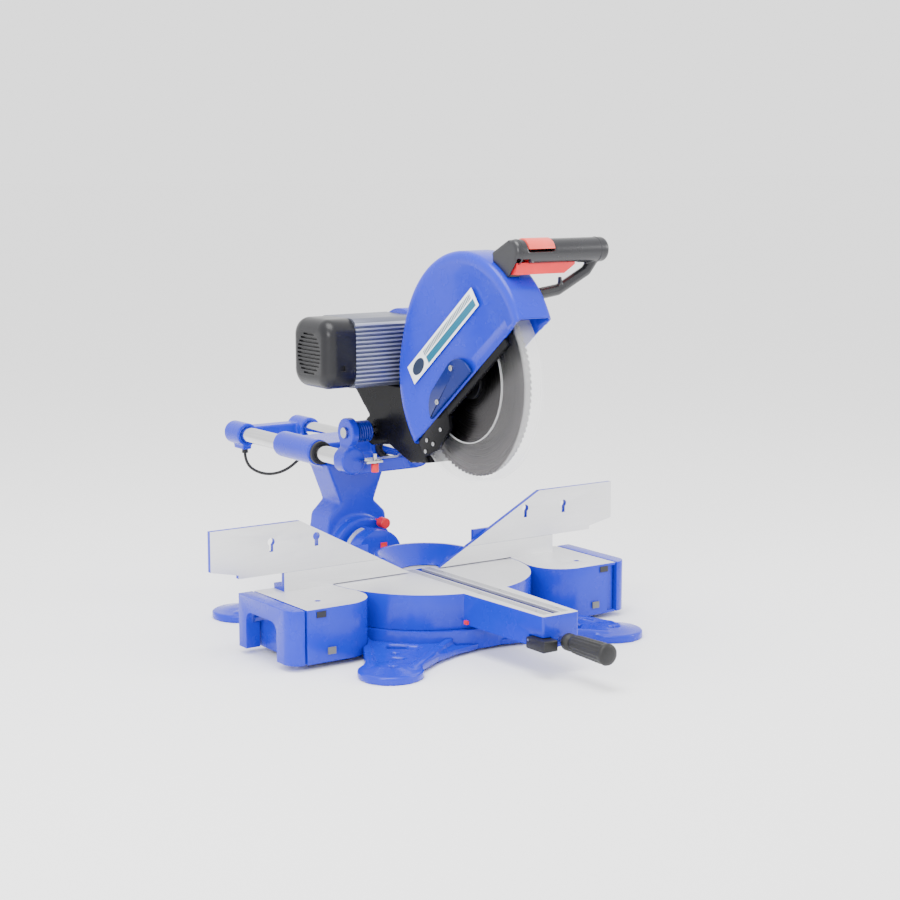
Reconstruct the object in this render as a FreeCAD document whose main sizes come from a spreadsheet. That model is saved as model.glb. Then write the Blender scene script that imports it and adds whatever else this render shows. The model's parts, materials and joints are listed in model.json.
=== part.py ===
import FreeCAD, Part
import math
import os
import re
import Sketcher
from FreeCAD import Placement, Rotation, Vector

# A bench-top sliding compound mitre saw with a 305 mm blade, in millimetres.
# +X is the operator's right, -Y faces the operator, +Z is up. X = Y = 0 is the turntable's axis and
# z = 0 the bench. The fence's working face is the plane y = 0. The saw rests with its head raised.

SIZES = {
    # Table level, turntable and running gaps
    "table_height": 96, "turntable_radius": 177, "turntable_gap": 2, "gap": 0.3, "running": 0.08,
    # Base casting: four lug feet on tapered arms, a round bed and two hollow side tables
    "foot_x": 217, "foot_front": 227, "foot_back": 240, "foot_radius": 51, "foot_height": 13,
    "bolt_y": 233, "bolt_radius": 5.5, "boss_radius": 13, "boss_top": 25, "arm_root": 125,
    "arm_rim": 13, "arm_recess": 6, "slot_half": 26, "slot_near": 197, "slot_long": 18, "slot_step": 34,
    "boss_apart": 14, "hill_height": 6, "web_x1": 165, "web_y1": 240, "web_x2": 118, "web_y2": 212,
    "web_x3": 72, "web_y3": 194, "web_x4": 30, "web_y4": 187, "web_inside": 150, "web_top": 16,
    "plug_radius": 5, "plug_x": 258, "plug_y": 82, "plug_deep": 3,
    "arm_root_width": 176, "arm_tip_width": 74, "arm_bottom": 4, "arm_root_top": 32, "arm_tip_top": 17,
    "bed_radius": 186, "bed_top": 38, "bed_bottom": 6, "bed_roof": 8, "hub_radius": 34, "hub_pin": 10,
    "side_outer": 305, "side_inner": 170, "side_front": 129, "side_back": 36, "side_bottom": 10,
    "side_corner": 58, "wall": 8, "side_rib": 42, "relief_width": 17, "relief_margin": 4,
    # Plastic blocks and clamp pads on the side tables' fronts
    "block_inset": 43, "block_half": 7, "block_proud": 3, "block_low": 22, "block_high": 33,
    "pad_inset": 25, "pad_half": 8.5, "pad_proud": 1.5, "pad_drop": 4, "pad_tall": 10,
    # Sliding table extensions on two rods each
    "extension_width": 29, "extension_corner": 24, "extension_seam": 3.8,
    "rod_radius": 7, "rod_front": 100, "rod_back": 12,
    "rod_height": 58, "rod_length": 116, "rod_seat": 12, "guide_radius": 12, "guide_length": 80,
    "arch_front": 84, "arch_back": 12, "arch_top": 71,
    # Fence: fixed lower casting with a bow behind the blade, and two sliding upper plates
    "fence_split": 127, "fence_top": 208, "fence_inner": 28, "fence_half": 270, "fence_thick": 9,
    "fence_foot": 34, "fence_foot_thick": 9, "fence_slope_top": 240, "upper_outer": 401,
    "upper_tail": 352, "upper_tail_rise": 16, "bow_low": 40, "bow_inner": 78, "bow_outer": 84,
    "fence_relief": 1.6, "fence_bolt_x": 192, "fence_bolt_end": 20, "fence_bolt_in": 9,
    "fence_bolt_head": 7, "fence_bolt_tall": 5, "tongue_inner": 106, "tongue_end": 12, "bridge_in": 26,
    "upper_step": 6, "knob_rise": 25,
    "keyhole_radius": 6.5, "keyhole_z": 180, "keyhole_drop": 16, "keyhole_slot": 7,
    "keyhole_near": 210, "keyhole_far": 293, "tongue_low": 107, "tongue_high": 152, "tongue_thick": 7,
    "knob_x": 150, "knob_radius": 13, "knob_length": 18, "stem_radius": 4, "stem_length": 8,
    # Turntable with its front arm, kerf inserts and rear trunnion
    "turntable_top_thick": 10, "turntable_ring": 100, "arm_reach": 368, "arm_half": 34,
    "arm_half_root": 44, "arm_low": 46, "insert_half": 24, "insert_thick": 4, "kerf_half": 7,
    "kerf_end": 20, "kerf_back": 20, "channel_half": 14, "channel_depth": 20, "insert_margin": 12,
    "arm_root_y": 120, "screw_front": 330, "screw_middle": 185, "screw_rear": 20,
    "trunnion_radius": 46, "trunnion_front": 140, "trunnion_gap": 2, "trunnion_low": 46,
    "stop_x": 32, "stop_up": 50, "stop_stem": 4, "stop_stem_length": 16, "stop_knob": 9.5,
    "stop_knob_length": 18, "bevel_bolt": 12, "bevel_front": 189, "bevel_back": 275,
    "scale_thick": 1.5, "scale_ahead": 30, "scale_deep": 10, "scale_span": 70, "scale_start": 185,
    "mark_left": 2, "mark_right": 14, "mark_low": 13, "mark_high": 24, "mark_proud": 2.5,
    # Mitre handle and detent lever
    "grip_gap": 15, "grip_length": 102, "grip_root": 13, "grip_end": 17, "grip_z": 57,
    "lever_ahead": 16, "lever_long": 46, "lever_low": 44, "lever_high": 62, "lever_out": 44,
    "detent_pin": 2, "detent_in": 5, "pointer_tip": 9, "pointer_wide": 4.5, "pointer_low": 2,
    "pointer_high": 8,
    # Tilting bevel arm: hub, waisted neck and two bearing housings for the rails
    "hub_outer": 60, "waist_half": 34, "waist_z": 182, "flare_half": 57, "flare_z": 160,
    "skirt_half": 60, "skirt_z": 140, "skirt_low_half": 66, "skirt_low": 104, "neck_front": 210,
    "neck_top": 256, "neck_top_half": 63, "rail_x": 67, "rail_z": 273, "rail_radius": 14.5,
    "rail_wall": 3, "housing_radius": 23, "housing_front": 226, "housing_back": 352, "seal_length": 8,
    "seal_radius": 20.5, "web_low": 262, "web_high": 286, "web_front": 236, "web_back": 346,
    "brow_front": 228, "brow_back": 299, "cable_lug": 12, "set_screw_y": 286,
    # Bevel lock behind the hub
    "lock_collar": 20, "lock_thick": 14, "lock_lean": 34, "lock_root": 6, "lock_end": 10,
    "lock_length": 172, "lock_pad": 8, "lock_pad_length": 40,
    # Slide carriage: rails, rear yoke and front hinge bracket
    "bracket_front": 114, "bracket_back": 145, "yoke_front": 482, "yoke_back": 536,
    "cross_front": 119, "cross_low": 248, "cross_high": 270, "hinge_y": 130, "hinge_z": 320,
    "pin_radius": 9, "ear_radius": 25, "ear_inner_left": 60, "ear_inner_right": 44, "ear_thick": 14,
    "bar_front": 498, "bar_low": 15, "bar_high": 11, "gland_half": 9, "coil_wire": 2.4,
    "coil_step": 5.6, "coil_out": 8, "coil_start": 4.2,
    # Depth stop on the bracket
    "stop_plate_left": 56, "stop_plate_right": 24, "stop_plate_ahead": 29, "stop_plate_thick": 4,
    "depth_x": 34, "depth_ahead": 19, "depth_radius": 3.5, "depth_head": 6.5, "depth_head_tall": 15,
    "depth_length": 30, "depth_below": 16,
    # Head: raised by this angle at rest; the blade centre is this far from the hinge
    "raise_angle": 39, "blade_back": 267, "blade_up": 110, "blade_radius": 152.5, "blade_thick": 2.6,
    "blade_teeth": 96, "gullet_depth": 4.5, "arbor_radius": 10, "flange_radius": 29, "flange_thick": 6,
    "guard_radius": 168, "guard_rise": 40, "guard_half": 33, "guard_wall": 4, "guard_slope": 38.3,
    "guard_below": 14, "guard_lean": 16, "cover_radius": 43, "cover_thick": 16, "shaft_end": 60,
    "access_radius": 34, "cover_screw": 4, "cover_screw_tall": 1.5, "plate_thick": 0.8,
    "plate_back": 126, "plate_ahead": 101, "plate_low": 60, "plate_high": 93, "deflector_thick": 7.5,
    "lower_radius": 162, "lower_rim": 3.5, "lower_half": 17, "lower_wall": 3, "lower_window": 98,
    "lower_span": 182, "lower_start": 140, "spindle_radius": 26, "spindle_collar": 36,
    "motor_y": 102, "motor_z": 462, "motor_half": 57.5, "motor_corner": 30, "motor_left": 160,
    "motor_joint": 104, "motor_right": 18, "fin_depth": 5, "fin_count": 14, "fin_gap": 4.2,
    "fin_start": 9, "fin_corner": 18, "cap_round": 20, "louvre_radius": 36, "louvre_step": 6.4,
    "louvre_gap": 3, "louvre_deep": 4, "vent_in": 26, "vent_long": 9, "vent_low": 17, "vent_tall": 9,
    "case_radius": 66, "case_arbor": 46, "case_inner": 36.3, "case_outer": 62,
    "arm_left": 20, "arm_right": 36, "hinge_hub": 26,
    # Horizontal D handle
    "handle_y": 262, "handle_z": 638.5, "handle_radius": 19.5, "handle_left": 20, "handle_right": 160,
    "strut_radius": 8.5, "trigger_x": 13, "trigger_drop": 14, "trigger_pin": 1.5, "neck_thick": 26,
    "pocket_left": 17, "pocket_right": 108, "well_left": 1, "well_right": 51, "well_front": 21,
    "well_back": 9, "well_low": 1, "button_low": 5, "button_proud": 1.6, "trigger_left": -14,
    "trigger_right": 99, "trigger_half": 7, "trigger_low": 34, "trigger_high": 16,
    "trigger_slope": 32, "trigger_slope_x": 78,
    "screw_radius": 2.5,
    # Cable between the yoke and the bevel arm
    "cable_radius": 2.75,
}

doc = FreeCAD.newDocument("mitre_saw")
sheet = doc.addObject("Spreadsheet::Sheet", "dim")
for row, (alias, value) in enumerate(SIZES.items(), start=1):
    sheet.set(f"A{row}", alias)
    sheet.set(f"B{row}", str(value))
    sheet.setAlias(f"B{row}", alias)
doc.recompute()

NAMES = re.compile(r"\b(" + "|".join(sorted(SIZES, key=len, reverse=True)) + r")\b")
ALONG = {"z": Rotation(), "x": Rotation(Vector(0, 1, 0), 90), "y": Rotation(Vector(1, 0, 0), -90)}
nodes = {}


def formula(size):
    """The sheet expression for a size written with plain names, such as "table_height - 8"."""
    return NAMES.sub(r"dim.\1", str(size))


def mm(size):
    """The present value of a size."""
    found = sheet.evalExpression(formula(size))
    return float(getattr(found, "Value", found))


def bind(thing, at=(0, 0, 0), turn=None, **sizes):
    """Ties a thing's own sizes and its position to the sheet."""
    for name, size in sizes.items():
        thing.setExpression(name, formula(size))
    thing.Placement = Placement(Vector(*[mm(a) for a in at]), turn or Rotation())
    for axis, size in zip("xyz", at):
        thing.setExpression(f".Placement.Base.{axis}", formula(size))
    return thing


def box(x, y, z, turn=None, at=None):
    """A box from pairs of limits; with a turn, the limits are about the point at."""
    solid = doc.addObject("Part::Box", "block")
    low = [pair[0] for pair in (x, y, z)]
    spans = dict(zip(("Length", "Width", "Height"), [f"({b}) - ({a})" for a, b in (x, y, z)]))
    bind(solid, low, **spans)
    if turn is None:
        return solid
    holder = doc.addObject("Part::Compound", "turned")
    holder.Links = [solid]
    return bind(holder, at, turn)


def rod(radius, start, length, along="z", span=None, turn=None):
    """A cylinder from its start point along x, y or z, or the part of one that spans an angle."""
    solid = doc.addObject("Part::Cylinder", "round")
    spin = ALONG[along] if turn is None else ALONG[along] * turn
    bind(solid, start, spin, Radius=radius, Height=length)
    if span is not None:
        solid.setExpression("Angle", formula(span))
    return solid


def cone(root, end, start, length, along="z"):
    solid = doc.addObject("Part::Cone", "taper")
    return bind(solid, start, ALONG[along], Radius1=root, Radius2=end, Height=length)


def ball(radius, at):
    return bind(doc.addObject("Part::Sphere", "ball"), at, Radius=radius)


def join(*solids):
    whole = doc.addObject("Part::MultiFuse", "joined")
    whole.Shapes = list(solids)
    return whole


def cut(base, *tools):
    result = doc.addObject("Part::Cut", "trimmed")
    result.Base = base
    result.Tool = tools[0] if len(tools) == 1 else join(*tools)
    return result


def overlap(first, second):
    result = doc.addObject("Part::Common", "shared")
    result.Base = first
    result.Tool = second
    return result


def group(*solids):
    """Separate solids that belong to one sub-part."""
    whole = doc.addObject("Part::Compound", "set")
    whole.Links = list(solids)
    return whole


def mirrored(source):
    """The same sub-part on the other side of the saw."""
    image = doc.addObject("Part::Mirroring", "mirrored")
    image.Source = source
    image.Normal = Vector(1, 0, 0)
    return image


def slab(plane, outline, length, at=(0, 0, 0)):
    """A body padded from an outline of (across, up) sizes: XY pads up, YZ pads to +X, XZ to -Y."""
    body = doc.addObject("PartDesign::Body", "plate")
    sketch = body.newObject("Sketcher::SketchObject", "outline")
    base = [part for part in body.Origin.OriginFeatures if part.Role == plane + "_Plane"]
    sketch.AttachmentSupport = (base[0], [""])
    sketch.MapMode = "FlatFace"
    corners = [Vector(mm(a), mm(b), 0) for a, b in outline]
    count = len(corners)
    for i in range(count):
        sketch.addGeometry(Part.LineSegment(corners[i], corners[(i + 1) % count]), False)
    for i in range(count):
        sketch.addConstraint(Sketcher.Constraint("Coincident", i, 2, (i + 1) % count, 1))
    for i, (across, up) in enumerate(outline):
        for kind, size in (("DistanceX", across), ("DistanceY", up)):
            index = sketch.addConstraint(Sketcher.Constraint(kind, -1, 1, i, 1, mm(size)))
            sketch.setExpression(f"Constraints[{index}]", formula(size))
    pad = body.newObject("PartDesign::Pad", "pad")
    pad.Profile = sketch
    pad.setExpression("Length", formula(length))
    return bind(body, at)


def soften(base, radius, chosen):
    """Rounds the edges that the chosen test accepts."""
    doc.recompute()
    rounded = doc.addObject("Part::Fillet", "softened")
    rounded.Base = base
    size = mm(radius)
    edges = base.Shape.Edges
    rounded.Edges = [(i + 1, size, size) for i, edge in enumerate(edges) if chosen(edge)]
    return rounded


def upright(edge, x=None, y=None, slack=0.5):
    """Whether an edge stands vertical at the given x or y."""
    first, last = edge.Vertexes[0].Point, edge.Vertexes[-1].Point
    vertical = abs(first.x - last.x) < slack and abs(first.y - last.y) < slack
    near_x = x is None or abs(first.x - x) < slack
    near_y = y is None or abs(first.y - y) < slack
    return len(edge.Vertexes) == 2 and vertical and near_x and near_y


def lengthwise(edge, slack=0.5):
    """Whether an edge runs along X."""
    first, last = edge.Vertexes[0].Point, edge.Vertexes[-1].Point
    return len(edge.Vertexes) == 2 and abs(first.y - last.y) < slack and abs(first.z - last.z) < slack


def keep(thing, name):
    """Names a finished sub-part."""
    thing.Label = name
    nodes[name] = thing


def hexagon(across, start, length, along):
    """A six-sided nut or bolt head."""
    solid = doc.addObject("Part::Prism", "hexagon")
    bind(solid, start, ALONG[along], Circumradius=across, Height=length)
    solid.Polygon = 6
    return solid


# Where the head's main points stand at rest.
BLADE_Y = "(hinge_y - blade_back)"
BLADE_Z = "(hinge_z + blade_up)"


def tapered(width, top, depth, turn, reach):
    """A bar from the bed to a foot: (root, tip) widths and tops, and how deep it goes below its top."""
    bar = doc.addObject("Part::Wedge", "bar")
    sizes = {"Xmin": f"-({width[0]}) / 2", "Xmax": f"({width[0]}) / 2", "Ymin": "arm_root",
             "Zmin": f"{top[0]} - ({depth[0]})", "Zmax": top[0], "X2min": f"-({width[1]}) / 2",
             "X2max": f"({width[1]}) / 2", "Z2min": f"{top[1]} - ({depth[1]})", "Z2max": top[1]}
    for name, size in sizes.items():
        bar.setExpression(name, formula(size))
    bar.Ymax = reach
    bar.Placement = Placement(Vector(0, 0, 0), turn)
    return bar


def foot(side, y):
    """A ribbed arm from the bed to a round lug, with two low bosses beside the bench bolt's hole."""
    reach = Vector(mm(f"{side} * foot_x"), mm(y), 0)
    turn = Rotation(Vector(0, 1, 0), reach)
    tops = "arm_root_top", "arm_tip_top"
    arm = tapered(("arm_root_width", "arm_tip_width"), tops,
                  ("arm_root_top - arm_bottom", "arm_tip_top - arm_bottom"), turn, reach.Length)
    floor = tapered(("arm_root_width - 2 * arm_rim", "arm_tip_width - 2 * arm_rim"),
                    ("arm_root_top + 1", "arm_tip_top + 1"), ("arm_recess + 1", "arm_recess + 1"),
                    turn, reach.Length)
    slots = [box((f"-{half}", half), (near, f"{near} + {long}"), (0, "arm_root_top"), turn, (0, 0, 0))
             for half, near, long in (("slot_half", "slot_near", "slot_long"),
                                      ("slot_half / 2", "slot_near + slot_step", "slot_long / 2"),
                                      ("slot_half / 2.4", "slot_near + slot_step * 1.7", "slot_long / 2"))]
    centre = f"{side} * foot_x", y
    disc = rod("foot_radius", (*centre, 0), "foot_height")
    hill = cone("foot_radius - 5", "boss_radius + 4", (*centre, "foot_height - 0.5"), "hill_height")
    across = turn.multVec(Vector(1, 0, 0)) * mm("boss_apart")
    bosses = []
    for way in (-1, 1):
        boss = rod("boss_radius", (0, 0, 0), "boss_top")
        boss.Placement = Placement(reach + across * way, Rotation())
        bosses.append(boss)
    return join(cut(arm, floor, *slots), disc, hill, *bosses)


def base_feet():
    """The four feet and the low webs that sweep between them, cast with the bed."""
    webs = []
    for way in (-1, 1):
        curve = [(f"-web_x{i}", f"{way} * web_y{i}") for i in (1, 2, 3, 4)]
        left = [("-web_x1", f"{way} * web_inside"), *curve, ("0", f"{way} * web_y4"),
                ("0", f"{way} * web_inside")]
        web = slab("XY", left, "web_top - arm_bottom", (0, 0, "arm_bottom"))
        webs += [web, mirrored(web)]
    feet = [foot(side, y) for side in (-1, 1) for y in ("-foot_front", "foot_back")]
    bed = rod("bed_radius", (0, 0, -1), "bed_top + 2")
    block = side_block()
    bolts = [rod("bolt_radius", (f"{side} * foot_x", y, -1), "boss_top + 2")
             for side in (-1, 1) for y in ("-bolt_y", "bolt_y")]
    keep(cut(join(*feet, *webs), bed, block, mirrored(block), *bolts), "base_feet")


def side_block():
    """The left side table's outside shape."""
    block = box(("-side_outer", "-side_inner"), ("-side_front", "side_back"),
                ("side_bottom", "table_height"))
    corner = mm("-side_inner"), mm("-side_front")
    return soften(block, "side_corner", lambda edge: upright(edge, *corner))


def side_table():
    """The left side table: a box open below, with a rib across and guides for the extension rods."""
    block = side_block()
    roof = ("side_bottom", "table_height - wall")
    across = ("-side_outer + wall", "-side_inner - side_corner / 2")
    front_cell = box(across, ("-side_front + wall", "-side_rib - wall"), roof)
    rear_cell = box(across, ("-side_rib", "side_back - wall"), roof)
    shell = cut(block, front_cell, rear_cell)
    rails = [rod("guide_radius", ("-side_outer", y, "rod_height"), "guide_length", "x")
             for y in ("-rod_front", "rod_back")]
    return join(shell, *rails)


def base_casting():
    bed = rod("bed_radius", (0, 0, "bed_bottom"), "bed_top - bed_bottom")
    hollow = cut(rod("bed_radius - wall", (0, 0, "bed_bottom"), "bed_top - bed_bottom - bed_roof"),
                 rod("hub_radius", (0, 0, "bed_bottom"), "bed_top - bed_bottom"))
    left = side_table()
    whole = join(cut(bed, hollow), left, mirrored(left))
    well = rod("turntable_radius + turntable_gap", (0, 0, "bed_top"), "table_height")
    pin = rod("hub_pin + running", (0, 0, 0), "bed_top + 1")
    tools = [well, pin]
    for side in (-1, 1):
        plug = f"{side} * plug_x", "-plug_y", "table_height - plug_deep"
        tools.append(rod("plug_radius", plug, "wall"))
        for y in ("-rod_front", "rod_back"):
            reach = "-side_outer - 1" if side < 0 else "side_outer - guide_length - 1"
            tools.append(rod("rod_radius + running", (reach, y, "rod_height"),
                             "guide_length + 2", "x"))
    # A tall relief in the right table's front, beside its extension.
    tools.append(box(("side_outer - relief_width", "side_outer + 1"),
                     ("-side_front - 1", "-side_front + wall - 1"),
                     ("side_bottom + relief_margin", "table_height - relief_margin")))
    keep(cut(whole, *tools), "base_casting")


def guide_blocks():
    """Plastic blocks low on each side table's front wall, and clamp pads near its top."""
    pieces = []
    for side in (-1, 1):
        block, pad = f"{side} * (side_outer - block_inset)", f"{side} * (side_outer - pad_inset)"
        pieces.append(box((f"{block} - block_half", f"{block} + block_half"),
                          ("-side_front - block_proud", "-side_front"), ("block_low", "block_high")))
        top = "table_height - pad_drop"
        pieces.append(box((f"{pad} - pad_half", f"{pad} + pad_half"),
                          ("-side_front - pad_proud", "-side_front"), (f"{top} - pad_tall", top)))
    keep(group(*pieces), "guide_blocks")


def turntable_bolt():
    """The pin that the turntable turns on, with its washer and nut under the bed."""
    pin = rod("hub_pin", (0, 0, "bed_bottom"), "table_height - turntable_top_thick - bed_bottom - 12")
    nut = hexagon("hub_pin + 6", (0, 0, "bed_bottom - 3"), 3, "z")
    keep(join(pin, nut), "turntable_bolt")


def extension():
    """The left table extension: an end block with a carrying arch, and its two guide rods."""
    inner = "-side_outer - extension_seam"
    block = box(("-(side_outer + extension_width)", inner), ("-side_front", "side_back"),
                ("side_bottom", "table_height"))
    corner = mm("-(side_outer + extension_width)"), mm("-side_front")
    block = soften(block, "extension_corner", lambda edge: upright(edge, *corner))
    arch = box(("-(side_outer + extension_width) - 1", "-side_outer"), ("-arch_front", "arch_back"),
               ("side_bottom - 1", "arch_top"))
    doc.recompute()
    arch = soften(arch, "wall * 2", lambda e: lengthwise(e) and e.Vertexes[0].Point.z > mm("arch_top - 1"))
    seats = [rod("rod_radius + 0.02", (f"{inner} - rod_seat", y, "rod_height"), "rod_seat + 1", "x")
             for y in ("-rod_front", "rod_back")]
    rods = [rod("rod_radius", (f"{inner} - rod_seat", y, "rod_height"), "rod_length", "x")
            for y in ("-rod_front", "rod_back")]
    return cut(block, arch, *seats), group(*rods)


def extensions():
    block, rods = extension()
    keep(block, "extension_left")
    keep(rods, "extension_rods_left")
    keep(mirrored(block), "extension_right")
    keep(mirrored(rods), "extension_rods_right")


# The fences' inner ends lean outward on one slope from the table to the top of the upper plates.
FENCE_RUN = "(fence_slope_top - fence_inner) / (fence_top - table_height)"


def fence_lean(z):
    """How far left of the blade the sloping inner end stands at a height."""
    return f"(-fence_inner - ({z} - table_height) * {FENCE_RUN})"


def lower_fence():
    outline = [("-fence_half", "table_height"), ("-fence_inner", "table_height"),
               (fence_lean("fence_split"), "fence_split"), ("-fence_half", "fence_split")]
    wing = slab("XZ", outline, "fence_thick", (0, "fence_thick", 0))
    sole = box(("-fence_half", "-bow_inner"), ("fence_thick - 1", "fence_foot"),
               ("table_height", "table_height + fence_foot_thick"))
    left = join(wing, sole)
    ring = rod("bow_outer", (0, 0, "table_height + 1"), "fence_split - table_height - 1")
    hole = cone("bow_low", "bow_inner", (0, 0, "table_height + 1"), "fence_split - table_height - 1")
    front = box(("-bow_outer - 1", "bow_outer + 1"), ("-bow_outer - 1", "fence_thick - 1"),
                ("table_height - 1", "fence_split + 1"))
    bow = cut(ring, hole, front)
    bolts = [rod("stem_radius + 0.2", (x, "fence_foot - fence_bolt_in", "table_height"),
                 "fence_split - table_height") for x in BOLT_X]
    relief = rod("turntable_radius + turntable_gap", (0, 0, "table_height - 1"), "fence_relief + 1")
    whole = cut(join(left, mirrored(left), bow), relief, *bolts)
    keep(whole, "lower_fence")
    heads = [join(hexagon("fence_bolt_head", (x, "fence_foot - fence_bolt_in",
                                              "table_height + fence_foot_thick"), "fence_bolt_tall", "z"),
                  rod("stem_radius", (x, "fence_foot - fence_bolt_in", "table_height"),
                      "fence_foot_thick + 1")) for x in BOLT_X]
    keep(group(*heads), "fence_bolts")


BOLT_X = ("-fence_half + fence_bolt_end", "-fence_bolt_x", "fence_bolt_x",
          "fence_half - fence_bolt_end")


def upper_fence():
    """The left sliding fence plate with two keyholes, a tongue behind the lower fence and its knob."""
    base = "fence_split + gap"
    outline = [(fence_lean(base), base), ("-fence_slope_top", "fence_top"), ("-upper_outer", "fence_top"),
               ("-upper_outer", f"{base} + upper_tail_rise"), ("-upper_tail", f"{base} + upper_step"),
               ("-upper_tail", base)]
    plate = slab("XZ", outline, "fence_thick", (0, "fence_thick", 0))
    tongue = box(("-fence_half + tongue_end", "-tongue_inner"),
                 ("fence_thick + gap", "fence_thick + gap + tongue_thick"), ("tongue_low", "tongue_high"))
    bridge = box(("-fence_half + tongue_end", "-tongue_inner - bridge_in"),
                 ("fence_thick - 1", "fence_thick + 2"),
                 (f"{base} + 1", "tongue_high"))
    holes = []
    for x in ("-keyhole_near", "-keyhole_far"):
        holes.append(rod("keyhole_radius", (x, -1, "keyhole_z"), "fence_thick + 2", "y"))
        holes.append(box((f"{x} - keyhole_slot / 2", f"{x} + keyhole_slot / 2"), (-1, "fence_thick + 1"),
                         ("keyhole_z - keyhole_drop", "keyhole_z")))
    stem_start = "fence_thick + gap + tongue_thick"
    stem = rod("stem_radius", ("-knob_x", stem_start, "tongue_low + knob_rise"), "stem_length", "y")
    knob = rod("knob_radius", ("-knob_x", f"{stem_start} + stem_length", "tongue_low + knob_rise"),
               "knob_length", "y")
    return cut(join(plate, tongue, bridge), *holes), join(stem, knob)


def upper_fences():
    plate, knob = upper_fence()
    keep(plate, "upper_fence_left")
    keep(knob, "fence_knob_left")
    keep(mirrored(plate), "upper_fence_right")
    keep(mirrored(knob), "fence_knob_right")


def turntable():
    low = "(bed_top + 1)"
    disc = rod("turntable_radius", (0, 0, low), f"table_height - {low}")
    cells = [cut(rod(outer, (0, 0, low), f"table_height - turntable_top_thick - {low}"),
                 rod(inner, (0, 0, low), "table_height"))
             for outer, inner in (("turntable_radius - wall", "turntable_ring + wall"),
                                  ("turntable_ring", "hub_radius"))]
    ribs = [box(("-wall / 2", "wall / 2"), ("hub_radius - 4", "turntable_radius - 4"),
                (low, "table_height - turntable_top_thick + 1"),
                Rotation(Vector(0, 0, 1), angle), (0, 0, 0)) for angle in range(0, 360, 30)]
    arm = slab("XY", [("-arm_half_root", "-arm_root_y"), ("-arm_half", "-arm_reach"),
                      ("arm_half", "-arm_reach"), ("arm_half_root", "-arm_root_y")],
               "table_height - arm_low", (0, 0, "arm_low"))
    arm = soften(arm, 4, lambda edge: upright(edge, y=mm("-arm_reach")))
    spine = box(("-channel_half - wall", "channel_half + wall"),
                ("-turntable_radius + 4", "kerf_back + wall"),
                ("table_height - channel_depth - wall", "table_height"))
    boss_back = "bevel_front - trunnion_gap"
    trunnion = rod("trunnion_radius", (0, "trunnion_front", "table_height"),
                   f"{boss_back} - trunnion_front", "y")
    pedestal = box(("-trunnion_radius", "trunnion_radius"), ("trunnion_front", boss_back),
                   ("trunnion_low", "table_height"))
    belly = box(("-arm_half + wall", "arm_half - wall"), ("-arm_reach + wall * 2", "-turntable_radius - 4"),
                ("arm_low - 1", "table_height - channel_depth - wall"))
    whole = join(cut(disc, *cells), *ribs, cut(arm, belly), spine, trunnion, pedestal)
    channel = box(("-channel_half", "channel_half"), ("-(arm_reach - kerf_end)", "kerf_back"),
                  ("table_height - channel_depth", "table_height + 1"))
    pocket = box(("-insert_half - 0.1", "insert_half + 0.1"),
                 ("-(arm_reach - insert_margin) - 0.1", "kerf_back + 0.1"),
                 ("table_height - insert_thick", "table_height + 1"))
    sink = rod("hub_pin + running", (0, 0, low), "table_height - turntable_top_thick - 8 - bed_top")
    bore = rod("bevel_bolt + running", (0, "trunnion_front - 1", "table_height"),
               "bevel_front - trunnion_front", "y")
    slot = box(("-lever_out", "-arm_half + wall * 2"),
               ("-(arm_reach + lever_ahead) - 1", "-(arm_reach + lever_ahead - lever_long) + 3"),
               ("arm_low - 1", "lever_high + 1.5"))
    under = rod("bed_radius + 40", (0, 0, "bed_top - 30"), "31")
    hinge = rod("detent_pin + 0.02", ("-arm_half + wall * 2 - 1", *DETENT_AT), 5, "x")
    handle = rod("grip_root / 2 - 1.4", (0, "-arm_reach - 1", "grip_z"), "wall * 2 + 2", "y")
    keep(cut(whole, channel, pocket, sink, bore, slot, handle, hinge, under), "turntable")


def kerf_inserts():
    """Two ribbed strips beside the kerf slot, held by three screws each."""
    screws = []
    for name, side in (("kerf_insert_left", -1), ("kerf_insert_right", 1)):
        edges = sorted((f"{side} * kerf_half", f"{side} * insert_half"), key=mm)
        strip = box(edges, ("-(arm_reach - insert_margin)", "kerf_back"),
                    ("table_height - insert_thick", "table_height"))
        holes = []
        for y in ("-screw_front", "-screw_middle", "-screw_rear"):
            centre = (f"{side} * (insert_half + channel_half + 2) / 2", y, "table_height - insert_thick")
            holes.append(rod("screw_radius + 0.1", centre, "insert_thick + 1"))
            screws.append(rod("screw_radius", centre, "insert_thick - 0.4"))
        keep(cut(strip, *holes), name)
    keep(group(*screws), "kerf_screws")


# Where the detent lever's pin crosses the arm: its y and z.
DETENT_AT = ("-(arm_reach + lever_ahead - lever_long) - detent_in", "lever_high - detent_in")


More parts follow.
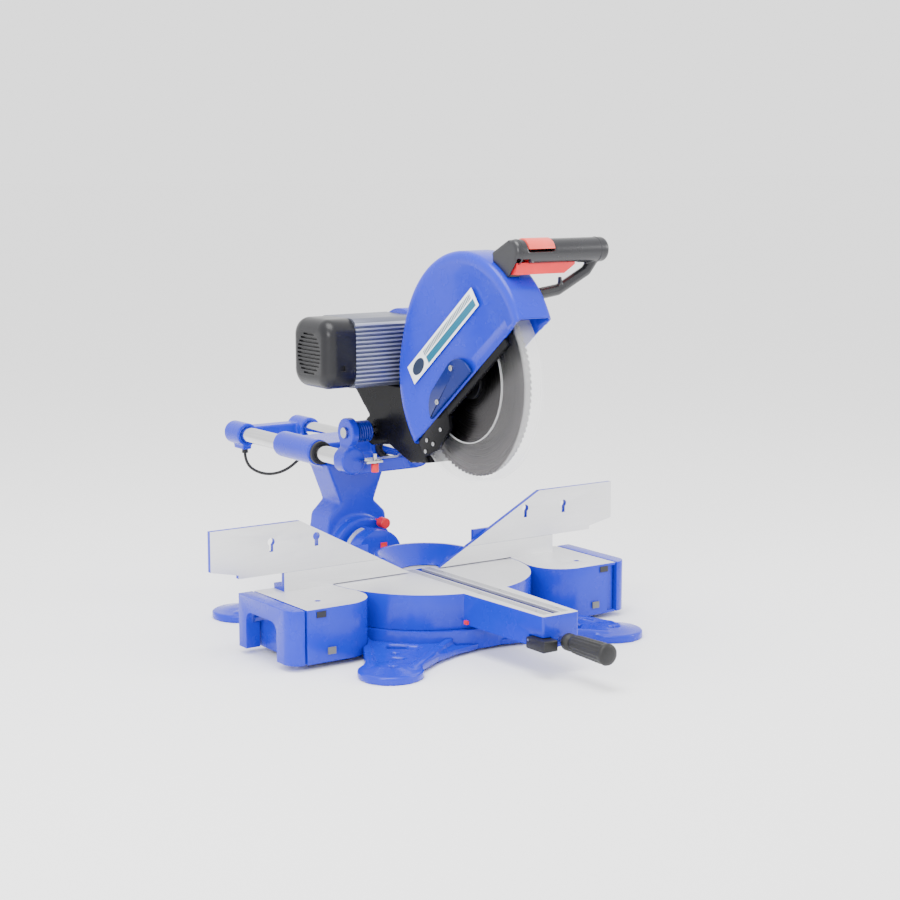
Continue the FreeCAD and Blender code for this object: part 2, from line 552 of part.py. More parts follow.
def mitre_parts():
    """The knurled mitre lock grip on its screw, the detent lever and the scale pointer."""
    grip_y = "-(arm_reach + grip_gap)"
    keep(rod("grip_root / 2 - 1.5", (0, grip_y, "grip_z"), "grip_gap + wall * 2", "y"),
         "mitre_lock_screw")
    taper = doc.addObject("Part::Cone", "grip")
    bind(taper, (0, grip_y, "grip_z"), Rotation(Vector(1, 0, 0), 90), Radius1="grip_root",
         Radius2="grip_end", Height="grip_length")
    keep(soften(taper, 4, lambda edge: edge.Length > 6.2 * mm("grip_end")), "mitre_grip")
    lever = box(("-lever_out + 0.5", "-arm_half + wall * 2 - 0.5"),
                ("-(arm_reach + lever_ahead)", "-(arm_reach + lever_ahead - lever_long)"),
                ("lever_low", "lever_high"))
    bore = rod("detent_pin + running", ("-lever_out", *DETENT_AT), "lever_out", "x")
    keep(cut(soften(lever, 3, lengthwise), bore), "detent_lever")
    keep(rod("detent_pin", ("-lever_out", *DETENT_AT), "lever_out - arm_half + wall * 2 + 3", "x"),
         "detent_pin")
    tip = "(turntable_radius + pointer_tip)"
    slope = "(arm_half_root - arm_half) / (arm_reach - arm_root_y)"
    beside = f"-(arm_half_root - {slope} * (turntable_radius + 1 - arm_root_y)) - gap"
    keep(box((f"{beside} - pointer_wide", beside), (f"-{tip}", "-turntable_radius - 1"),
             ("arm_low + pointer_low", "arm_low + pointer_high")), "mitre_pointer")


def bevel_scale():
    """A graduated arc on the left of the trunnion, and the mark that it is read against."""
    start = ("trunnion_radius + scale_thick", (0, "trunnion_front + scale_ahead", "table_height"),
             "scale_deep", "y")
    arc = rod(*start, span="scale_span", turn=Rotation(Vector(0, 0, 1), mm("scale_start")))
    core = rod("trunnion_radius", (0, "trunnion_front", "table_height"), "bevel_front", "y")
    keep(cut(arc, core), "bevel_scale")
    keep(box(("mark_left", "mark_right"), ("trunnion_front - mark_proud", "trunnion_front"),
             ("table_height + mark_low", "table_height + mark_high")), "bevel_pointer")


def bevel_arm():
    """The tilting arm: round hub, waisted neck, web and two bearing housings."""
    side = [("neck_top_half", "neck_top"), ("waist_half", "waist_z"), ("flare_half", "flare_z"),
            ("skirt_half", "skirt_z"), ("skirt_low_half", "skirt_low"),
            ("hub_outer - 14", "table_height - 36")]
    outline = side + [(f"-({across})", up) for across, up in reversed(side)]
    neck = slab("XZ", outline, "bevel_back - neck_front", (0, "bevel_back", 0))
    hub = rod("hub_outer", (0, "bevel_front", "table_height"), "bevel_back - bevel_front", "y")
    web = box(("-rail_x", "rail_x"), ("web_front", "web_back"), ("web_low - 6", "web_high"))
    brow = box(("-neck_top_half", "neck_top_half"), ("brow_front", "brow_back"),
               ("neck_top - 8", "web_low"))
    housings = [rod("housing_radius", (f"{side} * rail_x", "housing_front", "rail_z"),
                    "housing_back - housing_front", "y") for side in (-1, 1)]
    lug = box(("-cable_lug", "cable_lug"), ("web_back - 4", "web_back + 4"), ("web_low - 6", "web_high"))
    bores = [rod("rail_radius + running", (f"{side} * rail_x", "housing_front - 1", "rail_z"),
                 "housing_back - housing_front + 2", "y") for side in (-1, 1)]
    seat = rod("bevel_bolt + 0.02", (0, "bevel_front - 1", "table_height"), "bevel_back", "y")
    pull = rod("stop_stem + running", STOP_AT, "stop_stem_length", "y")
    reliefs = [rod("seal_radius + 0.2", (f"{side} * rail_x", "neck_front - 1", "rail_z"),
                   "housing_front - neck_front + 1", "y") for side in (-1, 1)]
    keep(cut(join(neck, hub, web, brow, *housings, lug), *bores, *reliefs, seat, pull), "bevel_arm")
    seals = [cut(rod("seal_radius", (f"{side} * rail_x", "housing_front - seal_length", "rail_z"),
                     "seal_length", "y"),
                 rod("rail_radius + running",
                     (f"{side} * rail_x", "housing_front - seal_length - 1", "rail_z"),
                     "seal_length + 2", "y")) for side in (-1, 1)]
    keep(group(*seals), "rail_seals")
    bolt = rod("bevel_bolt", (0, "trunnion_front + 4", "table_height"),
               "bevel_back - trunnion_front + 6", "y")
    keep(bolt, "bevel_bolt")
    keep(hexagon(8, ("rail_x", "set_screw_y", "rail_z + housing_radius"), 7, "z"), "rail_set_screw")


# Where the bevel stop's stem enters the hub.
STOP_AT = ("stop_x", "bevel_front - 1", "table_height + stop_up")


def bevel_stop_knob():
    """The red pull knob of the bevel stops, on its steel stem."""
    x, y, z = STOP_AT
    stem = rod("stop_stem", (x, f"{y} - 2", z), "stop_stem_length", "y")
    head = rod("stop_knob", (x, f"{y} - 2 - stop_knob_length", z), "stop_knob_length", "y")
    keep(join(soften(head, 2, lambda edge: edge.Length > 50), stem), "bevel_stop_knob")


def bevel_lever():
    """The bevel lock behind the hub: a collar on the bolt and a grip that rises to the right."""
    lean = Rotation(Vector(0, 1, 0), mm("lock_lean"))
    behind = "bevel_back + 1"
    collar = cut(rod("lock_collar", (0, behind, "table_height"), "lock_thick", "y"),
                 rod("bevel_bolt + running", (0, "bevel_back", "table_height"), "lock_thick + 2", "y"))
    arm = doc.addObject("Part::Cone", "lever")
    bind(arm, (0, f"{behind} + 20", "table_height"), lean, Radius1="lock_root", Radius2="lock_end",
         Height="lock_length")
    clear = rod("bevel_bolt + 4", (0, "bevel_back", "table_height"), "lock_length", "y")
    foot_pad = doc.addObject("Part::Cone", "root")
    bind(foot_pad, (0, f"{behind} + 10", "table_height"), lean, Radius1="lock_root",
         Radius2="lock_pad", Height="lock_pad_length")
    keep(join(collar, cut(join(arm, foot_pad), clear)), "bevel_lever")


def carriage():
    """Two rails joined by the rear yoke and the front hinge bracket."""
    for name, side in (("rail_left", -1), ("rail_right", 1)):
        start = (f"{side} * rail_x", "bracket_front + 6", "rail_z")
        length = "yoke_back - 8 - bracket_front - 6"
        keep(cut(rod("rail_radius", start, length, "y"),
                 rod("rail_radius - rail_wall", start, f"{length} + 1", "y")), name)
    bores = [rod("rail_radius + 0.02", (f"{side} * rail_x", "bracket_front + 6", "rail_z"),
                 "yoke_back - 14 - bracket_front", "y") for side in (-1, 1)]
    ends = [rod("housing_radius - 2", (f"{side} * rail_x", "yoke_front", "rail_z"),
                "yoke_back - yoke_front", "y") for side in (-1, 1)]
    bar = box(("-rail_x", "rail_x"), ("bar_front", "yoke_back - 4"),
              ("rail_z - bar_low", "rail_z + bar_high"))
    gland_seat = box(("-rail_x - gland_half", "-rail_x + gland_half"),
                     ("yoke_front + 2", "yoke_back - 16"),
                     ("rail_z - housing_radius - 5", "rail_z - 8"))
    keep(cut(join(*ends, bar, gland_seat), *bores), "rear_yoke")
    screws = [hexagon(5, (f"{side} * rail_x", "yoke_back", "rail_z"), 3, "y") for side in (-1, 1)]
    keep(group(*screws), "yoke_screws")
    clamps = [rod("housing_radius", (f"{side} * rail_x", "bracket_front", "rail_z"),
                  "bracket_back - bracket_front", "y") for side in (-1, 1)]
    cross = box(("-rail_x", "rail_x"), ("cross_front", "bracket_back"), ("cross_low", "cross_high"))
    ears = []
    for low in ("-ear_inner_left - ear_thick", "ear_inner_right"):
        ears.append(rod("ear_radius", (low, "hinge_y", "hinge_z"), "ear_thick", "x"))
        ears.append(box((low, f"{low} + ear_thick"), ("hinge_y - 11", "bracket_back + 4"),
                        ("cross_low + 10", "hinge_z")))
    pin_hole = rod("pin_radius + 0.02", (-120, "hinge_y", "hinge_z"), 240, "x")
    keep(cut(join(*clamps, cross, *ears), *bores, pin_hole), "hinge_bracket")
    pin = rod("pin_radius", ("-ear_inner_left - ear_thick - 4", "hinge_y", "hinge_z"),
              "ear_inner_left + ear_inner_right + ear_thick * 2 + 8", "x")
    keep(pin, "hinge_pin")
    coils = []
    for turn in range(6):
        coil = doc.addObject("Part::Torus", "coil")
        bind(coil, (f"-ear_inner_left + coil_start + {turn} * coil_step", "hinge_y", "hinge_z"),
             ALONG["x"], Radius1="pin_radius + coil_out", Radius2="coil_wire")
        coils.append(coil)
    keep(group(*coils), "torsion_spring")


def depth_stop():
    """A steel stop plate on the bracket, and the red-headed depth screw that hangs through it."""
    plate = box(("-stop_plate_left", "-stop_plate_right"),
                ("cross_front - stop_plate_ahead", "cross_front + 6"),
                ("cross_high", "cross_high + stop_plate_thick"))
    hole = rod("depth_radius + running", (*DEPTH_AT, "cross_high - 1"), "stop_plate_thick + 2")
    clamp = rod("housing_radius + 0.1", ("-rail_x", "bracket_front - 1", "rail_z"),
                "bracket_back - bracket_front", "y")
    keep(cut(plate, hole, clamp), "stop_plate")
    keep(rod("depth_radius", (*DEPTH_AT, "cross_high - depth_below"), "depth_length"), "depth_screw")
    knob = rod("depth_head", (*DEPTH_AT, "cross_high - depth_below - 1"), "depth_head_tall")
    core = rod("depth_radius + 0.1", (*DEPTH_AT, "cross_high - depth_below"), "depth_below")
    keep(cut(knob, core), "depth_knob")


DEPTH_AT = ("-depth_x", "cross_front - depth_ahead")


def guard_form(half, radius, rise_extra=0):
    """The upper guard's outline: two equal circles on a rising line, joined tangentially."""
    low = rod(radius, (f"-({half})", BLADE_Y, BLADE_Z), f"2 * ({half})", "x")
    high = rod(radius, (f"-({half})", f"{BLADE_Y} - guard_rise * sin(guard_lean)",
                        f"{BLADE_Z} + guard_rise * cos(guard_lean)"), f"2 * ({half})", "x")
    middle = doc.addObject("Part::Box", "middle")
    tilt = Rotation(Vector(1, 0, 0), mm("guard_lean"))
    middle.setExpression("Length", formula(f"2 * ({half})"))
    middle.setExpression("Width", formula(f"2 * ({radius})"))
    middle.setExpression("Height", formula("guard_rise"))
    corner = Vector(-mm(half), mm(BLADE_Y), mm(BLADE_Z)) + tilt.multVec(Vector(0, -mm(radius), 0))
    middle.Placement = Placement(corner, tilt)
    return join(low, high, middle)


def below_guard():
    """Everything under the guard's sloping lower edge, which lies level when the head is down."""
    tilt = Rotation(Vector(1, 0, 0), -mm("guard_slope"))
    block = doc.addObject("Part::Box", "below")
    wide, long, deep = 300, 900, 400
    block.Length, block.Width, block.Height = wide, long, deep
    below = Vector(-wide / 2, -long / 2, -deep - mm("guard_below"))
    block.Placement = Placement(Vector(0, mm(BLADE_Y), mm(BLADE_Z)) + tilt.multVec(below), tilt)
    return block


def upper_guard():
    outer = cut(guard_form("guard_half", "guard_radius"), below_guard())
    inner = guard_form("guard_half - guard_wall", "guard_radius - guard_wall")
    spindle = rod("spindle_collar + gap", (0, BLADE_Y, BLADE_Z), "guard_half + 1", "x")
    access = rod("access_radius", ("-guard_half - 1", BLADE_Y, BLADE_Z), "guard_half", "x")
    keep(cut(outer, inner, spindle, access), "upper_guard")


# The deflector's corners behind and below the blade's centre, and the cover's screws beside it.
DEFLECTOR = [(34, 30), (112, 90), (112, 113), (96, 134), (58, 116), (24, 78)]
COVER_SCREWS = [(26, 2), (-12, 26)]


def guard_trim():
    """The round cover over the blade bolt, its screws, the data plate and the chip deflector."""
    cover = rod("cover_radius", ("-guard_half - cover_thick", BLADE_Y, BLADE_Z), "cover_thick", "x")
    cover = soften(cover, 5, lambda edge: edge.Length > 200)
    keep(cut(cover, below_guard()), "bolt_cover")
    screws = [rod("cover_screw", ("-guard_half - cover_thick - cover_screw_tall",
                                  f"{BLADE_Y} + {back}", f"{BLADE_Z} + {up}"), "cover_screw_tall", "x")
              for back, up in COVER_SCREWS]
    keep(group(*screws), "cover_screws")
    tilt = Rotation(Vector(1, 0, 0), -mm("guard_slope"))
    plate = box(("-plate_thick", 0), ("-plate_back", "plate_ahead"), ("plate_low", "plate_high"),
                tilt, ("-guard_half", BLADE_Y, BLADE_Z))
    keep(plate, "data_plate")
    outline = [(f"{BLADE_Y} + {back}", f"{BLADE_Z} - {down}") for back, down in DEFLECTOR]
    keep(slab("YZ", outline, "deflector_thick", ("guard_wall - guard_half", 0, 0)), "chip_deflector")


def motor():
    limits = [(f"{middle} - motor_half", f"{middle} + motor_half") for middle in ("motor_y", "motor_z")]
    body = box(("-motor_joint", "motor_right"), *limits)
    body = soften(body, "fin_corner", lengthwise)
    grooves = []
    pitch = "(2 * motor_half - 2 * fin_start) / fin_count"
    for row in range(int(mm("fin_count"))):
        low = f"motor_z - motor_half + fin_start + {row} * {pitch}"
        for edge in ("motor_y - motor_half - 1", "motor_y + motor_half - fin_depth"):
            grooves.append(box(("-motor_joint - 1", "motor_right - 12"), (edge, f"{edge} + fin_depth + 1"),
                               (low, f"{low} + fin_gap")))
    keep(cut(body, *grooves), "motor_housing")
    cap = box(("-motor_left", "-motor_joint"), *limits)
    cap = soften(cap, "motor_corner", lengthwise)
    cap = soften(cap, "cap_round", lambda edge: abs(edge.BoundBox.XMax + mm("motor_left")) < 0.1)
    slots = [box(("-motor_left + vent_in", "-motor_left + vent_in + vent_long"),
                 ("motor_y - motor_half - 1", "motor_y - motor_half + louvre_deep"),
                 ("motor_z - vent_low - vent_tall", "motor_z - vent_low"))]
    for row in range(-5, 6):
        half = f"sqrt(louvre_radius ^ 2 - ({row} * louvre_step) ^ 2)"
        low = f"motor_z + {row} * louvre_step - louvre_gap / 2"
        slots.append(box(("-motor_left - 1", "-motor_left + louvre_deep"),
                         (f"motor_y - {half}", f"motor_y + {half}"), (low, f"{low} + louvre_gap")))
    keep(cut(cap, *slots), "motor_cap")


def drive_case():
    """The belt case on the guard's right, from the motor to the arbor, with the spindle housing."""
    rear = rod("case_radius", ("motor_right", "motor_y", "motor_z"), "case_outer - motor_right", "x")
    front = rod("case_arbor", ("case_inner", BLADE_Y, BLADE_Z), "case_outer - case_inner", "x")
    rise = Vector(0, mm("motor_y") - mm(BLADE_Y), mm("motor_z") - mm(BLADE_Z))
    square = Vector(0, -rise.z, rise.y).normalize()
    corners = [Vector(0, mm(BLADE_Y), mm(BLADE_Z)) + square * -mm("case_arbor"),
               Vector(0, mm("motor_y"), mm("motor_z")) + square * -mm("case_radius"),
               Vector(0, mm("motor_y"), mm("motor_z")) + square * mm("case_radius"),
               Vector(0, mm(BLADE_Y), mm(BLADE_Z)) + square * mm("case_arbor")]
    belt = slab("YZ", [(p.y, p.z) for p in corners], "case_outer - case_inner", ("case_inner", 0, 0))
    nose = "(arbor_radius + 1)"
    spindle = join(rod("spindle_radius", (nose, BLADE_Y, BLADE_Z), f"case_outer - {nose}", "x"),
                   rod("spindle_collar", ("lower_half + 2", BLADE_Y, BLADE_Z),
                       "case_inner - lower_half - 1", "x"))
    bore = rod("arbor_radius + running", (0, BLADE_Y, BLADE_Z), "shaft_end + 1", "x")
    clear = guard_form("guard_half + gap", "guard_radius + gap")
    clear = cut(clear, rod("spindle_collar + 0.1", (0, BLADE_Y, BLADE_Z), "case_outer", "x"))
    keep(cut(join(rear, front, belt, spindle), clear, bore), "drive_case")


# The head arm's outline in (y, z), from the motor down round the hinge and up the guard's back.
HEAD_ARM = [(188, "motor_z - motor_half"), (186, 388), (138, "hinge_z + 24"),
            ("hinge_y + 22", "hinge_z + 4"), ("hinge_y - 4", "hinge_z - 25"), (78, 302), (14, 279),
            (-38, 285), (-20, 330), (20, "motor_z - motor_half")]


def head_arm():
    """The black casting from the hinge to the motor and round the back of the guard."""
    plate = slab("YZ", HEAD_ARM, "arm_left + arm_right", ("-arm_left", 0, 0))
    hub = rod("hinge_hub", ("-arm_left", "hinge_y", "hinge_z"), "arm_left + arm_right + 4", "x")
    clear = guard_form("guard_half + 30", "guard_radius + gap")
    hole = rod("pin_radius + running", ("-arm_left - 1", "hinge_y", "hinge_z"),
               "arm_left + arm_right + 6", "x")
    case = rod("case_radius + 0.1", ("motor_right - 1", "motor_y", "motor_z"), "arm_right", "x")
    keep(cut(join(plate, hub), clear, hole, case), "head_arm")


# How far a tooth's face leans back at its root, and how much of each tooth's pitch is open.
TOOTH_RAKE = 0.6
GULLET_SHARE = 0.72


def blade():
    """The toothed blade on its arbor between two flanges, with the bolt on the left."""
    half = "blade_thick / 2"
    centre = (f"-{half}", BLADE_Y, BLADE_Z)
    disc = rod("blade_radius", centre, "blade_thick", "x")
    teeth = int(mm("blade_teeth"))
    radius, depth = mm("blade_radius"), mm("gullet_depth")
    step = 360 / teeth
    notches = []
    origin = Vector(mm(centre[0]) - 1, mm(BLADE_Y), mm(BLADE_Z))
    for tooth in range(teeth):
        turn = Rotation(Vector(1, 0, 0), tooth * step)
        corners = [Vector(0, radius + 1, 0), Vector(0, radius - depth, TOOTH_RAKE),
                   turn_point(radius + 1, GULLET_SHARE * step)]
        wire = Part.makePolygon([origin + turn.multVec(c) for c in corners + corners[:1]])
        notches.append(Part.Face(wire).extrude(Vector(mm("blade_thick") + 2, 0, 0)))
    bore = Part.makeCylinder(mm("arbor_radius") + 0.02, 20, Vector(-10, mm(BLADE_Y), mm(BLADE_Z)),
                             Vector(1, 0, 0))
    doc.recompute()
    toothed = doc.addObject("Part::Feature", "toothed")
    toothed.Shape = disc.Shape.cut(Part.makeCompound(notches + [bore]))
    keep(toothed, "blade")
    outer = rod("flange_radius", (f"-{half} - flange_thick", BLADE_Y, BLADE_Z), "flange_thick", "x")
    inner = rod("flange_radius - 4", (half, BLADE_Y, BLADE_Z), "flange_thick", "x")
    hole = rod("arbor_radius + 0.02", (-30, BLADE_Y, BLADE_Z), 60, "x")
    keep(cut(join(outer, inner), hole), "blade_flanges")
    shaft = rod("arbor_radius", (f"-{half} - flange_thick", BLADE_Y, BLADE_Z),
                f"shaft_end + {half} + flange_thick", "x")
    head = hexagon("arbor_radius + 5", (f"-{half} - flange_thick - 9", BLADE_Y, BLADE_Z), 9, "x")
    keep(join(shaft, head), "arbor_bolt")


def turn_point(radius, degrees):
    """A point at this radius, turned about X by an angle."""
    return Rotation(Vector(1, 0, 0), degrees).multVec(Vector(0, radius, 0))


def lower_guard():
    """The clear retracting guard: a rim and two side walls, hung from a ring on the spindle housing."""
    start = Rotation(Vector(0, 0, 1), mm("lower_start") - 270)
    centre = ("-lower_half", BLADE_Y, BLADE_Z)
    sector = rod("lower_radius", centre, "2 * lower_half", "x", "lower_span", start)
    hollow = rod("lower_radius - lower_rim", ("-lower_half + lower_wall", BLADE_Y, BLADE_Z),
                 "2 * (lower_half - lower_wall)", "x")
    window = rod("lower_window", ("-lower_half - 1", BLADE_Y, BLADE_Z), "lower_half + 1", "x")
    wall_x = "lower_half - lower_wall"
    ring = rod("spindle_radius + 9", (wall_x, BLADE_Y, BLADE_Z), "lower_wall", "x")
    bore = rod("spindle_radius + running", (0, BLADE_Y, BLADE_Z), 60, "x")
    keep(cut(join(cut(sector, hollow, window), ring), bore), "lower_guard")


# The neck's outline beyond the grip's centre in (y, z), and the strut's line in (x, z).
NECK = [(-14, -13), (6, 19), (48, -2), (40, -70), (16, -50)]
STRUT = [(146, 630.5), (126, 606), (70, 578), (20, 571)]
# The web inside the strut, and the rib that stiffens it, in (x, z).
STRUT_WEB = [(20, 571), (70, 578), (126, 606), (121, 610), (74, 588), (20, 581)]
STRUT_RIB = [(71, 578), (75, 578), (75, 599), (71, 599)]


def handle():
    """The D handle: a level grip across the saw, a neck to the guard and a strut back to its front."""
    grip = rod("handle_radius", ("-handle_left", "-handle_y", "handle_z"),
               "handle_left + handle_right", "x")
    grip = soften(grip, 7, lambda edge: edge.Length > 100)
    neck = slab("YZ", [(f"-handle_y + {y}", f"handle_z + {z}") for y, z in NECK], "neck_thick",
                ("-handle_left", 0, 0))
    points = [Vector(x, -mm("handle_y"), z) for x, z in STRUT]
    doc.recompute()
    strut = doc.addObject("Part::Feature", "strut")
    shapes = [Part.makeSphere(mm("strut_radius"), p) for p in points[:-1]]
    for a, b in zip(points, points[1:]):
        shapes.append(Part.makeCylinder(mm("strut_radius"), (b - a).Length, a, b - a))
    strut.Shape = shapes[0].multiFuse(shapes[1:])
    web = slab("XZ", STRUT_WEB, 4, (0, "-handle_y + 4", 0))
    rib = slab("XZ", STRUT_RIB, 8, (0, "-handle_y + 1", 0))
    pocket = box(("-pocket_left", "pocket_right"), ("-handle_y - 8", "-handle_y + 8"),
                 ("handle_z - 21", "handle_z - 4.5"))
    recess = box(("-pocket_left", "neck_thick - handle_left + 1"), ("-handle_y - 15", "-handle_y + 8"),
                 ("handle_z - 60", "handle_z - 4.5"))
    well = box(("well_left", "well_right"), ("-handle_y - well_front", "-handle_y + well_back"),
               ("handle_z + well_low", "handle_z + well_front"))
    clear = guard_form("guard_half", "guard_radius + 0.1")
    pin_start = ("trigger_x", "-handle_y - 13", "handle_z - trigger_drop")
    hinge = rod("trigger_pin + 0.02", pin_start, 26, "y")
    keep(cut(join(grip, neck, strut, web, rib), pocket, recess, well, clear, hinge), "handle")
    keep(rod("trigger_pin", pin_start, 26, "y"), "trigger_pin")
    pad = box(("trigger_left", "trigger_right"), ("-handle_y - trigger_half", "-handle_y + trigger_half"),
              ("handle_z - trigger_low", "handle_z - trigger_high"))
    slope = box((0, "trigger_right"), (-20, 20), (-30, 0),
                Rotation(Vector(0, 1, 0), -mm("trigger_slope")),
                ("trigger_slope_x", "-handle_y", "handle_z - trigger_low"))
    pivot = "trigger_x", "-handle_y - trigger_half", "handle_z - trigger_drop"
    lug = rod("trigger_pin + 2.5", pivot, "2 * trigger_half", "y")
    bore = rod("trigger_pin + running", pivot, "2 * trigger_half", "y")
    keep(cut(join(pad, lug), slope, bore), "trigger")
    thumb = rod("handle_radius + button_proud", ("well_left + 0.6", "-handle_y", "handle_z"),
                "well_right - well_left - 1.2", "x")
    button = overlap(thumb, box(("well_left", "well_right"),
                                ("-handle_y - 2 * well_front", "-handle_y + well_back - 0.6"),
                                ("handle_z + button_low", "handle_z + 2 * well_front")))
    keep(button, "lock_button")


# The loop's route from the yoke's gland down and round to the bevel arm's web, at rest.
CABLE_ROUTE = [(-67, 494, 238), (-67, 494, 229), (-65, 484, 214), (-60, 464, 206), (-52, 440, 203.5),
               (-42, 416, 208), (-30, 396, 219), (-16, 380, 238), (-5, 372, 256), (0, 362, 266),
               (0, 350.3, 266)]


def cable():
    """The cable that hangs in one loop from the yoke's gland to the bevel arm's web."""
    gland = rod("cable_radius + 3", ("-rail_x", "yoke_front + 12", "rail_z - housing_radius - 12"), 7)
    keep(gland, "cable_gland")
    cord = doc.addObject("Part::Feature", "cord")
    cord.Shape = tube([Vector(*point) for point in CABLE_ROUTE], mm("cable_radius"))
    keep(cord, "cable_loop")


def tube(route, radius):
    """A round tube along straight runs joined by tangent arcs."""
    edges = []
    start = route[0]
    for before, corner, after in zip(route, route[1:], route[2:]):
        back, ahead = (before - corner), (after - corner)
        reach = 0.45 * min(back.Length, ahead.Length)
        back.normalize()
        ahead.normalize()
        into, out = corner + back * reach, corner + ahead * reach
        half_turn = (back.getAngle(ahead)) / 2
        middle_way = (back + ahead).normalize()
        bend = reach * math.tan(half_turn)
        middle = corner + middle_way * (bend / math.sin(half_turn) - bend)
        edges.append(Part.LineSegment(start, into).toShape())
        edges.append(Part.Arc(into, middle, out).toShape())
        start = out
    edges.append(Part.LineSegment(start, route[-1]).toShape())
    path = Part.Wire(edges)
    circle = Part.Wire(Part.Circle(route[0], route[1] - route[0], radius).toShape())
    return path.makePipeShell([circle], True, False)


base_casting()
base_feet()
guide_blocks()
turntable_bolt()
extensions()
lower_fence()
upper_fences()
turntable()
kerf_inserts()
mitre_parts()
bevel_scale()
bevel_arm()
bevel_stop_knob()
bevel_lever()
carriage()
depth_stop()
upper_guard()
guard_trim()
motor()
drive_case()
head_arm()
blade()
lower_guard()
handle()
cable()
doc.recompute()

failed = [thing.Name for thing in doc.Objects if "Invalid" in thing.State or "Error" in thing.State]
if failed:
    raise RuntimeError(f"these objects failed: {failed}")
for name, thing in nodes.items():
    if thing.Shape.isNull() or not thing.Shape.isValid():
        raise RuntimeError(f"{name} has no valid shape")

os.makedirs("parts", exist_ok=True)
for name, thing in nodes.items():
    thing.Shape.exportStep(f"parts/{name}.step")
    print(f"{name}: {len(thing.Shape.Solids)} solids, {thing.Shape.Volume / 1000:.1f} cm3")
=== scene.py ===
"""A sliding mitre saw on its cast stand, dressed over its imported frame."""
import json
import math

import bmesh
import bpy
from mathutils import Matrix, Vector


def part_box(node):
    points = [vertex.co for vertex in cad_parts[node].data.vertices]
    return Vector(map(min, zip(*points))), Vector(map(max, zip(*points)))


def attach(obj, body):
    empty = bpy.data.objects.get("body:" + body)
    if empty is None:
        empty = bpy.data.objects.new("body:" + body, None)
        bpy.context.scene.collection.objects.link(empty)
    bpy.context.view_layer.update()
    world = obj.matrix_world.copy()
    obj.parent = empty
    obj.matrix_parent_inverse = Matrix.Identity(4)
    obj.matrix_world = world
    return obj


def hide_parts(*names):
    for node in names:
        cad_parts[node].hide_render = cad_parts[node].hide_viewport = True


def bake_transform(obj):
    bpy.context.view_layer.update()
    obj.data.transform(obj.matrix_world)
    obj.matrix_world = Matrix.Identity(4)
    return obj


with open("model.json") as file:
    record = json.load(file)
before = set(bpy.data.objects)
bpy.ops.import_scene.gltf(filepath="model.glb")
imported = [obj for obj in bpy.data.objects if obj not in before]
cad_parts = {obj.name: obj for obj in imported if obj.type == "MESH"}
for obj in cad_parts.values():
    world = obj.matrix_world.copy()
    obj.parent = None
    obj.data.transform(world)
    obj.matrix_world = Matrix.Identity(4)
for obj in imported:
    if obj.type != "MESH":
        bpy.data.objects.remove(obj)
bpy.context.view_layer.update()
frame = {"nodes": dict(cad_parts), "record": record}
nodes = frame["nodes"]

# The camera stands at chest height in front of the saw and to its left, with a long lens.
lens = bpy.data.cameras.new("camera")
lens.lens, lens.sensor_width, lens.clip_end = 76.47, 36.0, 60.0
camera = bpy.data.objects.new("camera", lens)
camera.location = (-1.7539, -2.5899, 0.7924)
toward = Vector((0.3487, 0.4271, 0.2142)) - camera.location
camera.rotation_euler = toward.to_track_quat("-Z", "Y").to_euler()
bpy.context.collection.objects.link(camera)
bpy.context.scene.camera = camera

# A plain white studio floor under an even sky, with one large soft light overhead, one at the
# front left and a narrow one at the right that draws the highlights along the rounded parts.
work = bmesh.new()
bmesh.ops.create_grid(work, x_segments=1, y_segments=1, size=40.0)
floor_mesh = bpy.data.meshes.new("floor")
work.to_mesh(floor_mesh)
work.free()
floor = bpy.data.objects.new("floor", floor_mesh)
white_floor = bpy.data.materials.new("white_floor")
white_floor.use_nodes = True
paint = white_floor.node_tree.nodes["Principled BSDF"].inputs
paint["Base Color"].default_value = (0.99, 0.99, 0.99, 1)
paint["Roughness"].default_value = 0.8
floor_mesh.materials.append(white_floor)
bpy.context.collection.objects.link(floor)
LAMPS = (("overhead", (-0.5, -0.3, 2.4), 1.6, 62), ("front_left", (-2.4, -1.5, 1.5), 1.0, 44),
         ("right", (2.2, -1.6, 1.3), 0.8, 26))
saw_middle = Vector((0, 0.05, 0.25))
for name, place, size, power in LAMPS:
    glow = bpy.data.lights.new(name, "AREA")
    glow.shape, glow.size, glow.energy = "DISK", size, power
    lamp = bpy.data.objects.new(name, glow)
    lamp.location = place
    lamp.rotation_euler = (saw_middle - Vector(place)).to_track_quat("-Z", "Y").to_euler()
    bpy.context.collection.objects.link(lamp)
sky = bpy.data.worlds.new("studio")
sky.use_nodes = True
sky.node_tree.nodes["Background"].inputs["Color"].default_value = (1, 1, 1, 1)
sky.node_tree.nodes["Background"].inputs["Strength"].default_value = 1.9
bpy.context.scene.world = sky


